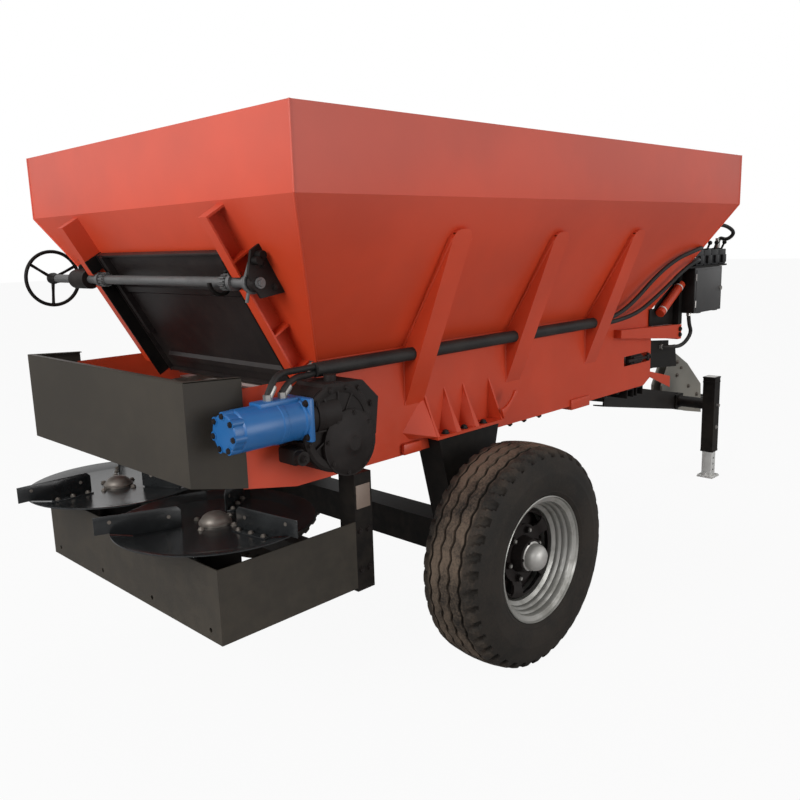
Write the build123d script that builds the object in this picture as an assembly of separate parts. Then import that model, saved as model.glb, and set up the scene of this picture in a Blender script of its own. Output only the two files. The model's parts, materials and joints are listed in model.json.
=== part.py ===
from build123d import *
import os
from math import atan2, cos, degrees, hypot, pi, radians, sin

os.makedirs("parts", exist_ok=True)

# A two-wheel trailed manure spreader: a sloped hopper on a long sheet chassis, a slatted floor
# conveyor, a sliding rear gate and two spinning discs. Millimetres. While it is built, x is
# measured forward from the axle, y to the left of the middle plane, z up from the ground.

# ---- Hopper ----
hopper_rear_x = -883.0
hopper_front_x = 1635.0
hopper_half_w = 750.0
rim_z = 1737.0
fold_z = 1528.0            # the upright band turns into the sloped walls here
sill_z = 1077.0            # the sloped walls stand on the chassis sheets here
sill_rear_x = -621.0
sill_front_x = 1368.0
hopper_wall = 5.0          # measured level
rim_lip_w = 32.0
outlet_half_w = 385.0
outlet_top_z = 1277.0

# ---- Chassis sheets and trough ----
chassis_half_w = 482.0
chassis_sheet = 5.0
chassis_bottom_z = 726.0
chassis_rear_x = -896.0
chassis_flange_w = 55.0
chassis_tail_z = 1035.0    # top of the sheets behind the hopper
chassis_tail_low_z = 760.0
nose_x = 1568.0            # the sheets run on to a beak over the drawbar
nose_low_z = 679.0
nose_high_z = 733.0
nose_root_z = 782.0
front_corner = 60.0        # cut off the sheets' lower front corner
cross_member_xs = (-225.0, 310.0, 800.0, 1080.0)
cross_member_w = 60.0
cross_member_h = 64.0
tube_wall = 5.0            # of the square tubes in the frame

# ---- Floor conveyor ----
drive_shaft_x = -617.0
idler_shaft_x = 1245.0
shaft_z = 856.0
shaft_r = 25.0
chain_half_t = 9.0
chain_w = 24.0
chain_y = 320.0
sprocket_pitch_r = 85.0
sprocket_t = 18.0
slat_count = 14
slat_w = 34.0
slat_h = 18.0
slat_half_l = 444.0
slot_half_h = 22.0         # of the openings where the front shaft is tightened
floor_t = 4.0
floor_gap = 0.3

# ---- Gate, its cross shaft and handwheel ----
gate_half_w = 398.0
gate_t = 4.0
gate_gap = 6.0             # from the rear wall's outer face
gate_low_z = 983.0
gate_top_z = 1404.0
gate_flange_h = 20.0
gate_rib_h = 10.0
gate_rib_w = 40.0
post_in_y = 410.0
post_depth = 64.0
post_flange_w = 38.0
post_t = 6.0
post_top_z = 1517.0
post_low_z = 1043.0
guide_t = 5.5
cross_shaft_r = 15.0
cross_shaft_along = 305.0  # up the slope from the sill
cross_shaft_out = 56.0     # outward from the rear wall
cross_shaft_end_y = -516.0
handwheel_y = 786.0
handwheel_r = 98.0
handwheel_tube_r = 6.0
gate_travel = 200.0
left_bearing_y = 525.0
right_bearing_outline = [(390, 0), (390, 31), (342, 74), (268, 74), (238, 0)]    # along and out of the slope
pinion_r = 24.0
pinion_y = 360.0
shaft_clear = 0.05         # running clearance, on the radius

# ---- Wheels and axle ----
tyre_r = 373.0
tyre_half_w = 120.0
wheel_y = 731.0
rim_flange_r = 211.0
rim_half_w = 107.0
rim_seat_r = 194.0
rim_t = 6.0
rim_disc_out = 20.0        # the disc lies this far outboard of the wheel's middle
hub_r = 62.0
hub_flange_r = 100.0
stud_circle_r = 82.0
stud_count = 6
stud_r = 8.0
spindle_r = 27.0
spindle_reach = 70.0       # past the wheel's middle
axle_size = 116.0
axle_half_l = 592.0

# ---- Axle brackets and stands ----
bracket_half_l = 178.0
bracket_z = 775.0
bracket_out_y = 546.0
bracket_t = 10.0
bracket_gusset_xs = (-172.0, -70.0, 28.0, 170.0)
bracket_gusset_t = 8.0
bracket_top_z = 920.0
stand_in_y = 430.0
stand_out_y = 534.0
stand_top_half_l = 160.0
stand_low_half_l = 78.0

# ---- Rear hood, spinner discs and guard ----
hood_rear_x = -1060.0
hood_front_x = -884.0
hood_t = 4.0
hood_low_z = 800.0
hood_top_z = 1077.0
hood_fall = 10.0           # of the top edge, towards the front
disc_x = -880.0
disc_y = 298.0
disc_z = 619.0
disc_r = 292.0
disc_t = 5.0
disc_dish = 14.0
disc_flat = 60.0           # width of the sloped rim
vane_count = 3
vane_in_r = 95.0
vane_out_r = 332.0
vane_h = 68.0
vane_t = 4.0
vane_lift = 6.0                   # the tips pass this far above the rim of the other disc
vane_turns = (158.0, 180.0)    # the first vane of the right and of the left disc, from ahead
spinner_hub_r = 48.0
spinner_shaft_r = 20.0
guard_rear_x = -1027.0
guard_front_x = -536.0
guard_half_w = 526.0
guard_low_z = 364.0
guard_top_z = 578.0
guard_t = 4.0
hanger_size = 70.0

# ---- Drive on the right side ----
gearbox_out_y = 612.0
gear_case_r = 128.0
gear_case_x = -652.0
gear_case_z = 905.0
gear_cover_r = 96.0
gear_cover_t = 14.0
gear_head = [(-722, 1000), (-694, 1032), (-556, 1026), (-497, 969), (-511, 862), (-617, 800)]
worm_y = 568.0
worm_z = 947.0
worm_case_r = 54.0
motor_rear_x = -1005.0
motor_front_x = -770.0
motor_r = 57.0
motor_flange_t = 16.0

# ---- Side ribs ----
rib_xs = (-220.0, 314.0, 848.0)
rib_w = 86.0
rib_t = 5.0
rib_top_zs = (1439.0, 1424.0, 1424.0)
rib_corner = 26.0
rib_low_z = 887.0
rib_top_proud = 14.0

# ---- Drawbar and jack ----
drawbar_root_x = 1150.0
drawbar_root_y = 347.0
drawbar_root_z = 687.0
drawbar_neck_x = 2490.0
drawbar_neck_y = 62.2
drawbar_neck_z = 416.0
drawbar_beam_h = 100.0
drawbar_beam_w = 50.0
drawbar_beam_t = 6.0
saddle_xs = (1160.0, 1245.0)
saddle_w = 58.0
saddle_h = 40.0
head_plate_y = 30.0
head_plate_t = 12.0
head_outline = [(2380, 520), (2507, 708), (2700, 611), (2898, 456), (2916, 270), (2697, 315), (2479, 372),
                (2380, 400)]
head_tip_x = 2960.0
head_tip_z = 352.0
eye_r = 25.0
eye_out_r = 56.0
eye_t = 34.0
jack_x = 2440.0
jack_y = -308.0
jack_size = 70.0
jack_wall = 6.0
jack_leg_size = 57.0
jack_top_z = 594.0
jack_tube_low_z = 155.0
jack_pivot_z = 430.0
jack_foot_w = 95.0
jack_foot_t = 8.0
jack_travel = 125.0

# ---- Front stand, control box and valve ----
front_bar_rear_x = 1036.0
front_bar_front_x = 1596.0
front_bar_rear_zs = (972.0, 1007.0)
front_bar_front_zs = (914.0, 982.0)
front_bar_w = 36.0
front_plate_t = 6.0
front_plate_outline = [(1368.3, 793), (1368.3, 925), (1552, 908), (1552, 880), (1622, 880), (1640, 772),
                       (1405, 793)]
stand_post_w = 36.0
valve_x0 = 1632.0
valve_x1 = 1960.0
valve_h = 78.0
box_x0 = 1597.0
box_x1 = 1885.0
box_y0 = -578.0
box_y1 = -490.0
box_z0 = 1035.0
box_z1 = 1245.0
box_wall = 2.0

# ---- Hoses ----
conduit_r = 21.0
conduit_y = -(chassis_half_w + 37.0)
conduit_z = sill_z - 17.0
hose_r = 9.0
conduit_x0 = -660.0
conduit_x1 = rib_xs[-1] + rib_w / 2 + 20.0
port_xs = (motor_front_x - 92.0, motor_front_x - 44.0)
port_top_z = worm_z + motor_r + 12.0
hose_rise = hose_r + 0.5

hose_tilt = 8.2            # a slanted hose's end stands off its port by this much more
valve_port_x = valve_x0 - 0.3 - hose_tilt
valve_top_z = box_z1 + 8.6 + valve_h
# Each front hose: the corners of its way and the radius of each bend.
front_hose_routes = (
    ([(conduit_x1 + 0.3, conduit_y, conduit_z + hose_rise), (1035, conduit_y, conduit_z + hose_rise),
      (1215, -628, 1285), (1540, -668, 1340), (valve_port_x, -525, 1306)], [120, 120, 60]),
    ([(conduit_x1 + 0.3, conduit_y, conduit_z - hose_rise), (1180, conduit_y, conduit_z - hose_rise),
      (1375, -585, 1190), (1400, -640, 1275), (1550, -650, 1300), (valve_port_x, -525, 1278)],
     [150, 90, 70, 60]),
    ([(1632, -534, box_z0 - 4.6), (1672, -534, 960), (1600, -515, 886), (1470, -510, 886),
      (1470, -477.3, 886)], [35, 45, 22]),
    ([(1740, -530, valve_top_z), (1740, -530, 1420), (1930, -530, 1420), (1930, -530, valve_top_z)],
     [60, 60]),
)

touch = 0.3                # seated pieces lie this far apart

rear_end_x = disc_x - vane_out_r
front_end_x = head_tip_x + eye_out_r
shift_x = -(rear_end_x + front_end_x) / 2.0    # the origin lies below the middle of the length

slope_len = hypot(sill_rear_x - hopper_rear_x, fold_z - sill_z)
up_x = (hopper_rear_x - sill_rear_x) / slope_len
up_z = (fold_z - sill_z) / slope_len
# Local x runs up the rear wall, y is the row's y and z points outward from the wall.
rear_slope = Plane(origin=(sill_rear_x, 0, sill_z), x_dir=(up_x, 0, up_z), z_dir=(-up_z, 0, up_x))


def along(z):
    """How far up the rear slope a height lies, from the sill."""
    return (z - sill_z) / up_z


def wall_y(z):
    """The side wall's outer face at a height, as a distance from the middle plane."""
    return chassis_half_w + (hopper_half_w - chassis_half_w) * (z - sill_z) / (fold_z - sill_z)


def block(x0, x1, y0, y1, z0, z1):
    """A box between two corners, given in any order."""
    return Pos((x0 + x1) / 2, (y0 + y1) / 2, (z0 + z1) / 2) * Box(abs(x1 - x0), abs(y1 - y0), abs(z1 - z0))


def prism_x(points, x0, x1):
    """A (y, z) outline swept along x."""
    face = make_face(Polyline([(x0, y, z) for y, z in points], close=True))
    return extrude(face, amount=x1 - x0, dir=(1, 0, 0))


def prism_y(points, y0, y1):
    """An (x, z) outline swept along y."""
    face = make_face(Polyline([(x, y0, z) for x, z in points], close=True))
    return extrude(face, amount=y1 - y0, dir=(0, 1, 0))


def prism_z(points, z0, z1):
    """An (x, y) outline swept along z."""
    face = make_face(Polyline([(x, y, z0) for x, y in points], close=True))
    return extrude(face, amount=z1 - z0, dir=(0, 0, 1))


def rod_y(x, z, r, y0, y1):
    """A round bar along y."""
    return Pos(x, (y0 + y1) / 2, z) * Rot(90, 0, 0) * Cylinder(r, abs(y1 - y0))


def rod_x(y, z, r, x0, x1):
    """A round bar along x."""
    return Pos((x0 + x1) / 2, y, z) * Rot(0, 90, 0) * Cylinder(r, abs(x1 - x0))


def rod_z(x, y, r, z0, z1):
    """A round bar along z."""
    return Pos(x, y, (z0 + z1) / 2) * Cylinder(r, abs(z1 - z0))


def ring_y(profile, x, y, z):
    """A (radius, y) outline turned about an axis along y."""
    face = make_face(Polyline([(r, a, 0) for r, a in profile], close=True))
    return Pos(x, y, z) * revolve(face, Axis.Y, 360)


def turned_z(profile):
    """A (radius, z) outline turned about the z axis."""
    return revolve(make_face(Polyline([(r, 0, z) for r, z in profile], close=True)), Axis.Z, 360)


def save(name, shapes):
    """Write one node, its solids moved so that the origin lies at the middle of the length."""
    solids = []
    for shape in shapes if isinstance(shapes, (list, tuple)) else [shapes]:
        solids += shape.solids()
    moved = [Pos(shift_x, 0, 0) * solid for solid in solids]
    export_step(Compound(children=moved) if len(moved) > 1 else moved[0], f"parts/{name}.step")


def mirror_y(shape):
    """The same piece on the other side of the middle plane."""
    return mirror(shape, about=Plane.XZ)


# ---- Hopper panels ----
def rect_at(x0, x1, half_w, z):
    """A level rectangle."""
    corners = [(x0, -half_w, z), (x1, -half_w, z), (x1, half_w, z), (x0, half_w, z)]
    return make_face(Polyline(corners, close=True))


def hopper_form(inset, top):
    """The hopper's outer form, or its inner form when inset by the wall."""
    band = block(hopper_rear_x + inset, hopper_front_x - inset, -hopper_half_w + inset, hopper_half_w - inset,
                 fold_z, top)
    upper = rect_at(hopper_rear_x + inset, hopper_front_x - inset, hopper_half_w - inset, fold_z)
    lower = rect_at(sill_rear_x + inset, sill_front_x - inset, chassis_half_w - inset, sill_z)
    return band + loft([lower, upper], ruled=True)


def hopper_shell():
    shell = hopper_form(0, rim_z) - hopper_form(hopper_wall, rim_z - hopper_wall)
    mouth = block(hopper_rear_x + rim_lip_w, hopper_front_x - rim_lip_w, -hopper_half_w + rim_lip_w,
                  hopper_half_w - rim_lip_w, fold_z, rim_z + 1)
    return shell - mouth


def hopper_panels():
    """The shell split at its four mitred corners."""
    shell = hopper_shell()
    reach = 400.0
    grow_x = reach * (sill_rear_x - hopper_rear_x) / (hopper_half_w - chassis_half_w)
    grow_f = reach * (hopper_front_x - sill_front_x) / (hopper_half_w - chassis_half_w)
    right = [(sill_rear_x, -chassis_half_w), (sill_front_x, -chassis_half_w),
             (hopper_front_x + grow_f, -hopper_half_w - reach),
             (hopper_rear_x - grow_x, -hopper_half_w - reach)]
    inner_rear = sill_rear_x + chassis_half_w * grow_x / reach
    inner_front = sill_front_x - chassis_half_w * grow_f / reach
    right = [(inner_rear, 0), (inner_front, 0)] + right[2:]
    side_right = shell & prism_z(right, sill_z - 10, rim_z + 10)
    rear = [(inner_rear, 0), (hopper_rear_x - grow_x, -hopper_half_w - reach),
            (hopper_rear_x - grow_x, hopper_half_w + reach)]
    front = [(inner_front, 0), (hopper_front_x + grow_f, hopper_half_w + reach),
             (hopper_front_x + grow_f, -hopper_half_w - reach)]
    rear_wall = shell & prism_z(rear, sill_z - 10, rim_z + 10)
    rear_wall -= block(hopper_rear_x, sill_rear_x + 50, -outlet_half_w, outlet_half_w, sill_z - 10,
                       outlet_top_z)
    front_wall = shell & prism_z(front, sill_z - 10, rim_z + 10)
    save("hopper_side_right", side_right)
    save("hopper_side_left", mirror_y(side_right))
    save("hopper_rear_wall", rear_wall)
    save("hopper_front_wall", front_wall)


# ---- Ribs on the sloped side walls, with a hole for the hose conduit ----
def side_rib(x, top_z, holed):
    x0, x1 = x - rib_w / 2, x + rib_w / 2
    top_y = wall_y(top_z)
    outline = [(-chassis_half_w, rib_low_z), (-chassis_half_w, sill_z), (-top_y, top_z),
               (-top_y - rib_top_proud, top_z)]
    body = prism_x(outline, x0, x1)
    inner = [(-chassis_half_w + 1, rib_low_z + 30), (-chassis_half_w + 1, sill_z), (-top_y + 1, top_z - 10),
             (-top_y - rib_top_proud + rib_t * 1.1, top_z - 10)]
    body -= prism_x(inner, x0 + rib_t, x1 - rib_t)
    cut = rib_corner * 0.3
    front = [(x0, rib_low_z), (x1, rib_low_z), (x1, top_z - rib_corner), (x1 - cut, top_z - cut),
             (x1 - rib_corner, top_z), (x0 + rib_corner, top_z), (x0 + cut, top_z - cut),
             (x0, top_z - rib_corner)]
    body &= prism_y(front, -hopper_half_w - 50, -chassis_half_w)
    if holed:
        body -= rod_x(conduit_y, conduit_z, conduit_r + touch, x0 - 1, x1 + 1)
    return body


def side_ribs():
    ribs = [side_rib(x, top_z, True) for x, top_z in zip(rib_xs, rib_top_zs)]
    ribs += [mirror_y(side_rib(x, top_z, False)) for x, top_z in zip(rib_xs, rib_top_zs)]
    save("side_ribs", ribs)


# ---- Chassis ----
def chassis():
    tail_x = sill_rear_x - 14
    front_x = sill_front_x - front_corner
    outline = [(chassis_rear_x, chassis_tail_low_z), (chassis_rear_x, chassis_tail_z),
               (tail_x, chassis_tail_z), (tail_x, sill_z), (sill_front_x, sill_z),
               (sill_front_x, nose_root_z), (nose_x, nose_high_z),
               (nose_x, nose_low_z), (sill_front_x, chassis_bottom_z + 30), (front_x, chassis_bottom_z),
               (chassis_rear_x + 180, chassis_bottom_z)]
    skin = -chassis_half_w + chassis_sheet
    sheet = prism_y(outline, -chassis_half_w, skin)
    sheet += block(chassis_rear_x + 180, front_x, -chassis_half_w, -chassis_half_w + chassis_flange_w,
                   chassis_bottom_z, chassis_bottom_z + chassis_sheet)
    sheet -= rod_y(drive_shaft_x, shaft_z, shaft_r + 6, -chassis_half_w - 1, skin + 1)
    sheet -= block(idler_shaft_x - 118, idler_shaft_x + 98, -chassis_half_w - 1, skin + 1,
                   shaft_z - slot_half_h, shaft_z + slot_half_h)
    save("chassis_side_right", sheet)
    save("chassis_side_left", mirror_y(sheet))
    inner = chassis_half_w - chassis_sheet
    members = []
    floor_top = shaft_z + sprocket_pitch_r - chain_half_t - floor_gap
    for x in cross_member_xs:
        half, low = cross_member_w / 2, floor_top - floor_t - cross_member_h
        tube = block(x - half, x + half, -inner, inner, low, floor_top - floor_t)
        members.append(tube - block(x - half + tube_wall, x + half - tube_wall, -inner - 1, inner + 1,
                                    low + tube_wall, floor_top - floor_t - tube_wall))
    reach = sprocket_pitch_r + 25
    save("trough_floor", block(drive_shaft_x + reach, idler_shaft_x - reach, -inner, inner,
                               floor_top - floor_t, floor_top))
    members.append(block(sill_front_x - chassis_sheet, sill_front_x, -inner, inner, nose_root_z, sill_z))
    save("chassis_cross_members", members)


# ---- Floor conveyor: two endless chains round four sprockets, joined by slats ----
def loop_point(distance):
    """A place on the chain's loop, with the direction it faces outward (x, z, angle)."""
    run = idler_shaft_x - drive_shaft_x
    turn = pi * sprocket_pitch_r
    distance %= 2 * (run + turn)
    if distance < run:
        return drive_shaft_x + distance, shaft_z + sprocket_pitch_r, 90.0
    if distance < run + turn:
        angle = 90.0 - degrees((distance - run) / sprocket_pitch_r)
        return (idler_shaft_x + sprocket_pitch_r * cos(radians(angle)),
                shaft_z + sprocket_pitch_r * sin(radians(angle)), angle)
    if distance < 2 * run + turn:
        return idler_shaft_x - (distance - run - turn), shaft_z - sprocket_pitch_r, -90.0
    angle = -90.0 - degrees((distance - 2 * run - turn) / sprocket_pitch_r)
    return (drive_shaft_x + sprocket_pitch_r * cos(radians(angle)),
            shaft_z + sprocket_pitch_r * sin(radians(angle)), angle)


def band(radius, y0, y1):
    """A flat oval round the two shafts."""
    return (block(drive_shaft_x, idler_shaft_x, y0, y1, shaft_z - radius, shaft_z + radius)
            + rod_y(drive_shaft_x, shaft_z, radius, y0, y1) + rod_y(idler_shaft_x, shaft_z, radius, y0, y1))


def conveyor():
    total = 2 * (idler_shaft_x - drive_shaft_x + pi * sprocket_pitch_r)
    loops = []
    for side in (-1, 1):
        y0, y1 = side * chain_y - chain_w / 2, side * chain_y + chain_w / 2
        loops.append(band(sprocket_pitch_r + chain_half_t, y0, y1)
                     - band(sprocket_pitch_r - chain_half_t, y0 - 1, y1 + 1))
    save("conveyor_chains", loops)
    slats = []
    offset = chain_half_t + slat_h / 2 + touch
    for i in range(slat_count):
        x, z, angle = loop_point((i + 0.35) * total / slat_count)
        slats.append(Pos(x + offset * cos(radians(angle)), 0, z + offset * sin(radians(angle)))
                     * Rot(0, -angle, 0) * Box(slat_h, 2 * slat_half_l, slat_w))
    save("conveyor_slats", slats)
    shafts = []
    for shaft_x, y0, y1 in ((drive_shaft_x, -gearbox_out_y + 8, chassis_half_w + 22),
                            (idler_shaft_x, -chassis_half_w + 10, chassis_half_w - 10)):
        shaft = rod_y(shaft_x, shaft_z, shaft_r, y0, y1)
        for side in (-1, 1):
            middle = side * chain_y
            shaft += rod_y(shaft_x, shaft_z, sprocket_pitch_r - chain_half_t - touch,
                           middle - sprocket_t / 2, middle + sprocket_t / 2)
            shaft += rod_y(shaft_x, shaft_z, shaft_r + 14, middle - 22, middle + 22)
        shafts.append(shaft)
    save("conveyor_shafts", shafts)
    face = chassis_half_w
    plate = block(drive_shaft_x - 60, drive_shaft_x + 60, face, face + 10, shaft_z - 42, shaft_z + 42)
    boss = rod_y(drive_shaft_x, shaft_z, 36, face, face + 28)
    housings = [plate + boss - rod_y(drive_shaft_x, shaft_z, shaft_r, face - 1, face + 22)]
    face -= chassis_sheet
    for side in (-1, 1):
        body = block(idler_shaft_x - 46, idler_shaft_x + 46, side * face, side * (face - 27),
                     shaft_z - 38, shaft_z + 38)
        housings.append(body - rod_y(idler_shaft_x, shaft_z, shaft_r, side * (face - 5), side * (face - 28)))
    return housings


# ---- Gate and its guides ----
def gate():
    low, top = along(gate_low_z), along(gate_top_z)
    back = gate_gap + gate_t
    plate = block(low, top, -gate_half_w, gate_half_w, gate_gap, back)
    for side in (-1, 1):
        plate += block(low, top, side * gate_half_w, side * (gate_half_w - gate_t), gate_gap,
                       gate_gap + gate_flange_h)
    for middle in (low + 62, cross_shaft_along - 62):
        outline = [(middle - gate_rib_w / 2, back), (middle - gate_rib_w / 4, back + gate_rib_h),
                   (middle + gate_rib_w / 4, back + gate_rib_h), (middle + gate_rib_w / 2, back)]
        plate += prism_y(outline, -pinion_y + 10, pinion_y - 10)
    for side in (-1, 1):
        plate += block(cross_shaft_along - gate_travel - 40, top - 4, side * (pinion_y - 10),
                       side * (pinion_y + 10), back - 1, cross_shaft_out - pinion_r - touch)
    save("discharge_gate", rear_slope.location * plate)


def rear_posts():
    low, top = along(post_low_z), along(post_top_z)
    outer = post_in_y + post_flange_w
    posts, guides = [], []
    for side in (-1, 1):
        post = block(low, top, side * post_in_y, side * (post_in_y + post_t), 0, post_depth)
        post += block(low, top, side * post_in_y, side * outer, post_depth - post_t, post_depth)
        post += block(top - post_t, top, side * post_in_y, side * outer, 0, post_depth)
        for share in (0.06, 0.30, 0.74):
            a = low + (top - low) * share
            post += block(a, a + post_t, side * post_in_y, side * outer, 0, post_depth)
        slot = block(cross_shaft_along - cross_shaft_r - 6, cross_shaft_along + cross_shaft_r + 6,
                     side * (post_in_y - 1), side * (outer + 1), cross_shaft_out - cross_shaft_r - 6,
                     post_depth + 1)
        posts.append(rear_slope.location * (post - slot))
        for a, b in ((-100, cross_shaft_along - cross_shaft_r - 10),
                     (cross_shaft_along + cross_shaft_r + 10, along(gate_top_z))):
            guide = block(a, b, side * (post_in_y - guide_t), side * post_in_y, 0, post_depth + 2)
            guides.append(rear_slope.location * guide)
    save("rear_posts", posts)
    save("gate_guides", guides)


def gate_shaft():
    def across(r, y0, y1):
        return rod_y(cross_shaft_along, cross_shaft_out, r, y0, y1)
    shaft = across(cross_shaft_r, cross_shaft_end_y, handwheel_y - 4)
    for side in (-1, 1):
        shaft += across(pinion_r, side * (pinion_y + 12), side * (pinion_y - 12))
    save("gate_cross_shaft", rear_slope.location * shaft)
    middle = Pos(cross_shaft_along, handwheel_y, cross_shaft_out)
    wheel = middle * Rot(90, 0, 0) * Torus(handwheel_r, handwheel_tube_r)
    wheel += across(22, handwheel_y - 42, handwheel_y + 8)
    wheel -= across(cross_shaft_r, handwheel_y - 50, handwheel_y - 4)
    for i in range(3):
        spoke = Pos(handwheel_r / 2 + 8, 0, 0) * Rot(0, 90, 0) * Cylinder(5, handwheel_r - 16)
        wheel += middle * Rot(0, 120 * i - 25, 0) * spoke
    save("handwheel", rear_slope.location * wheel)
    left = across(33, left_bearing_y - 55, left_bearing_y + 55)
    left += block(cross_shaft_along - 30, cross_shaft_along + 30, left_bearing_y - 40, left_bearing_y + 40, 0,
                  cross_shaft_out)
    left -= across(cross_shaft_r + shaft_clear, left_bearing_y - 60, left_bearing_y + 60)
    right = prism_y(right_bearing_outline, cross_shaft_end_y + 6, cross_shaft_end_y + 15)
    right += across(24, cross_shaft_end_y + 6, cross_shaft_end_y + 30)
    right -= across(cross_shaft_r + shaft_clear, cross_shaft_end_y - 1, cross_shaft_end_y + 40)
    return [rear_slope.location * left, rear_slope.location * right]


# ---- Drive: gearbox and motor ----
def drive():
    inner = chassis_half_w
    seat_x = motor_front_x + motor_flange_t
    face = -gearbox_out_y + gear_cover_t
    flange = motor_r + 4
    case = rod_y(gear_case_x, gear_case_z, gear_case_r, face, -inner)
    case += rod_y(drive_shaft_x, shaft_z, gear_cover_r, -gearbox_out_y, face + 1)
    case += prism_y(gear_head, face - 6, -inner)
    case -= block(gear_case_x - gear_case_r - 1, seat_x, -worm_y - flange - 2, -worm_y + flange + 2,
                  worm_z - flange - 2, worm_z + flange + 2)
    case += rod_x(-worm_y, worm_z, worm_case_r, seat_x, gear_case_x)
    case -= rod_y(drive_shaft_x, shaft_z, shaft_r, -gearbox_out_y + 8, -inner + 1)
    save("gearbox", case)
    motor = rod_x(-worm_y, worm_z, motor_r, motor_rear_x + 30, motor_front_x)
    motor += rod_x(-worm_y, worm_z, motor_r + 3, motor_rear_x, motor_rear_x + 36)
    motor += block(motor_front_x - 2, seat_x, -worm_y - flange, -worm_y + flange, worm_z - flange,
                   worm_z + flange)
    for x in port_xs:
        motor += rod_z(x, -worm_y, 14, worm_z + motor_r - 8, port_top_z)
    save("hydraulic_motor", motor)


# ---- Hood over the discs ----
def hood():
    half = chassis_half_w + hood_t
    outline = [(hood_rear_x, hood_low_z), (hood_rear_x, hood_top_z), (hood_front_x, hood_top_z - hood_fall),
               (hood_front_x, chassis_tail_low_z)]
    inner = block(hood_rear_x + hood_t, hood_front_x + 1, -half + hood_t, half - hood_t, chassis_bottom_z,
                  rim_z)
    save("rear_hood", prism_y(outline, -half, half) - inner)


# ---- Spinner discs ----
def spinner(side, name):
    bend = disc_r - disc_flat
    dish = [(spinner_hub_r, 0), (bend, 0), (disc_r, disc_dish), (disc_r, disc_dish - disc_t),
            (bend, -disc_t), (spinner_hub_r, -disc_t)]
    hub = [(0, -40), (spinner_hub_r - 14, -40), (spinner_hub_r - 14, -disc_t - 8),
           (spinner_hub_r, -disc_t - 8), (spinner_hub_r, 8), (spinner_hub_r - 10, 22),
           (spinner_hub_r - 30, 32), (0, 32)]
    disc = turned_z(dish) + turned_z(hub)
    disc -= Pos(0, 0, -26) * Cylinder(spinner_shaft_r + shaft_clear, 40)
    vane = block(vane_in_r, vane_out_r, -vane_t / 2, vane_t / 2, -1, vane_h)
    vane -= prism_y([(bend, -2), (vane_out_r + 1, -2), (vane_out_r + 1, disc_dish + vane_lift),
                     (disc_r + 2, disc_dish + vane_lift), (disc_r, disc_dish - 1), (bend, -1)], -vane_t, vane_t)
    for i in range(vane_count):
        disc += Rot(0, 0, i * 360 / vane_count + vane_turns[0 if side < 0 else 1]) * vane
    save(f"spinner_disc_{name}", Pos(disc_x, side * disc_y, disc_z) * disc)


def spinner_drive():
    deck = guard_low_z + 66
    cases = []
    for side in (-1, 1):
        case = rod_z(disc_x, side * disc_y, 68, deck, disc_z - 60)
        case += rod_z(disc_x, side * disc_y, spinner_shaft_r, disc_z - 62, disc_z - 8)
        cases.append(case)
    save("spinner_gearboxes", cases)
    wide = guard_half_w - guard_t
    beam = block(disc_x - 60, disc_x + 60, -wide, wide, guard_low_z + 10, deck)
    beam -= block(disc_x - 54, disc_x + 54, -wide - 1, wide + 1, guard_low_z + 16, deck - 6)
    half = hanger_size / 2
    hanger_x = guard_front_x + half
    hanger_y = guard_half_w - half
    tubes = []
    for side in (-1, 1):
        tube = block(hanger_x - half, hanger_x + half, side * hanger_y - half, side * hanger_y + half,
                     guard_low_z - 12, chassis_bottom_z)
        tube -= block(hanger_x - half + tube_wall, hanger_x + half - tube_wall,
                      side * hanger_y - half + tube_wall, side * hanger_y + half - tube_wall,
                      guard_low_z - 13, chassis_bottom_z - 8)
        tubes.append(tube)
    cross = block(hanger_x - half, hanger_x + half, -hanger_y + half, hanger_y - half, guard_low_z + 10, deck)
    save("spinner_frame", [beam, tubes[0] + tubes[1] + cross])


def guard():
    outer = block(guard_rear_x, guard_front_x, -guard_half_w, guard_half_w, guard_low_z, guard_top_z)
    inner = block(guard_rear_x + guard_t, guard_front_x + 1, -guard_half_w + guard_t, guard_half_w - guard_t,
                  guard_low_z - 1, guard_top_z + 1)
    box = outer - inner
    for i in range(4):
        y = guard_half_w * (-0.9 + 0.6 * i)
        box -= rod_x(y, guard_low_z + 30, 7, guard_rear_x - 1, guard_rear_x + 10)
    save("spinner_guard", box)


# ---- Axle, stands and wheels ----
def axle():
    half = axle_size / 2
    beam = block(-half, half, -axle_half_l, axle_half_l, tyre_r - half, tyre_r + half)
    brackets = []
    for side in (-1, 1):
        beam += rod_y(0, tyre_r, spindle_r, side * (axle_half_l - 5), side * (wheel_y + spindle_reach))
        outline = [(-stand_top_half_l, bracket_z - bracket_t), (stand_top_half_l, bracket_z - bracket_t),
                   (stand_low_half_l, tyre_r + half - 1), (-stand_low_half_l, tyre_r + half - 1)]
        stand = prism_y(outline, side * stand_in_y, side * stand_out_y)
        beam += stand - block(-400, 400, side * (stand_in_y - 1), side * (chassis_half_w + touch),
                              chassis_bottom_z - touch, bracket_z)
        plate = block(-bracket_half_l, bracket_half_l, side * chassis_half_w, side * bracket_out_y,
                      bracket_z - bracket_t, bracket_z)
        for x in bracket_gusset_xs:
            gusset = [(side * chassis_half_w, bracket_z - 1), (side * chassis_half_w, bracket_top_z),
                      (side * (bracket_out_y - 4), bracket_z - 1)]
            plate += prism_x(gusset, x - bracket_gusset_t / 2, x + bracket_gusset_t / 2)
        brackets.append(plate)
    save("axle_beam", beam)
    save("axle_brackets", brackets)


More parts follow.
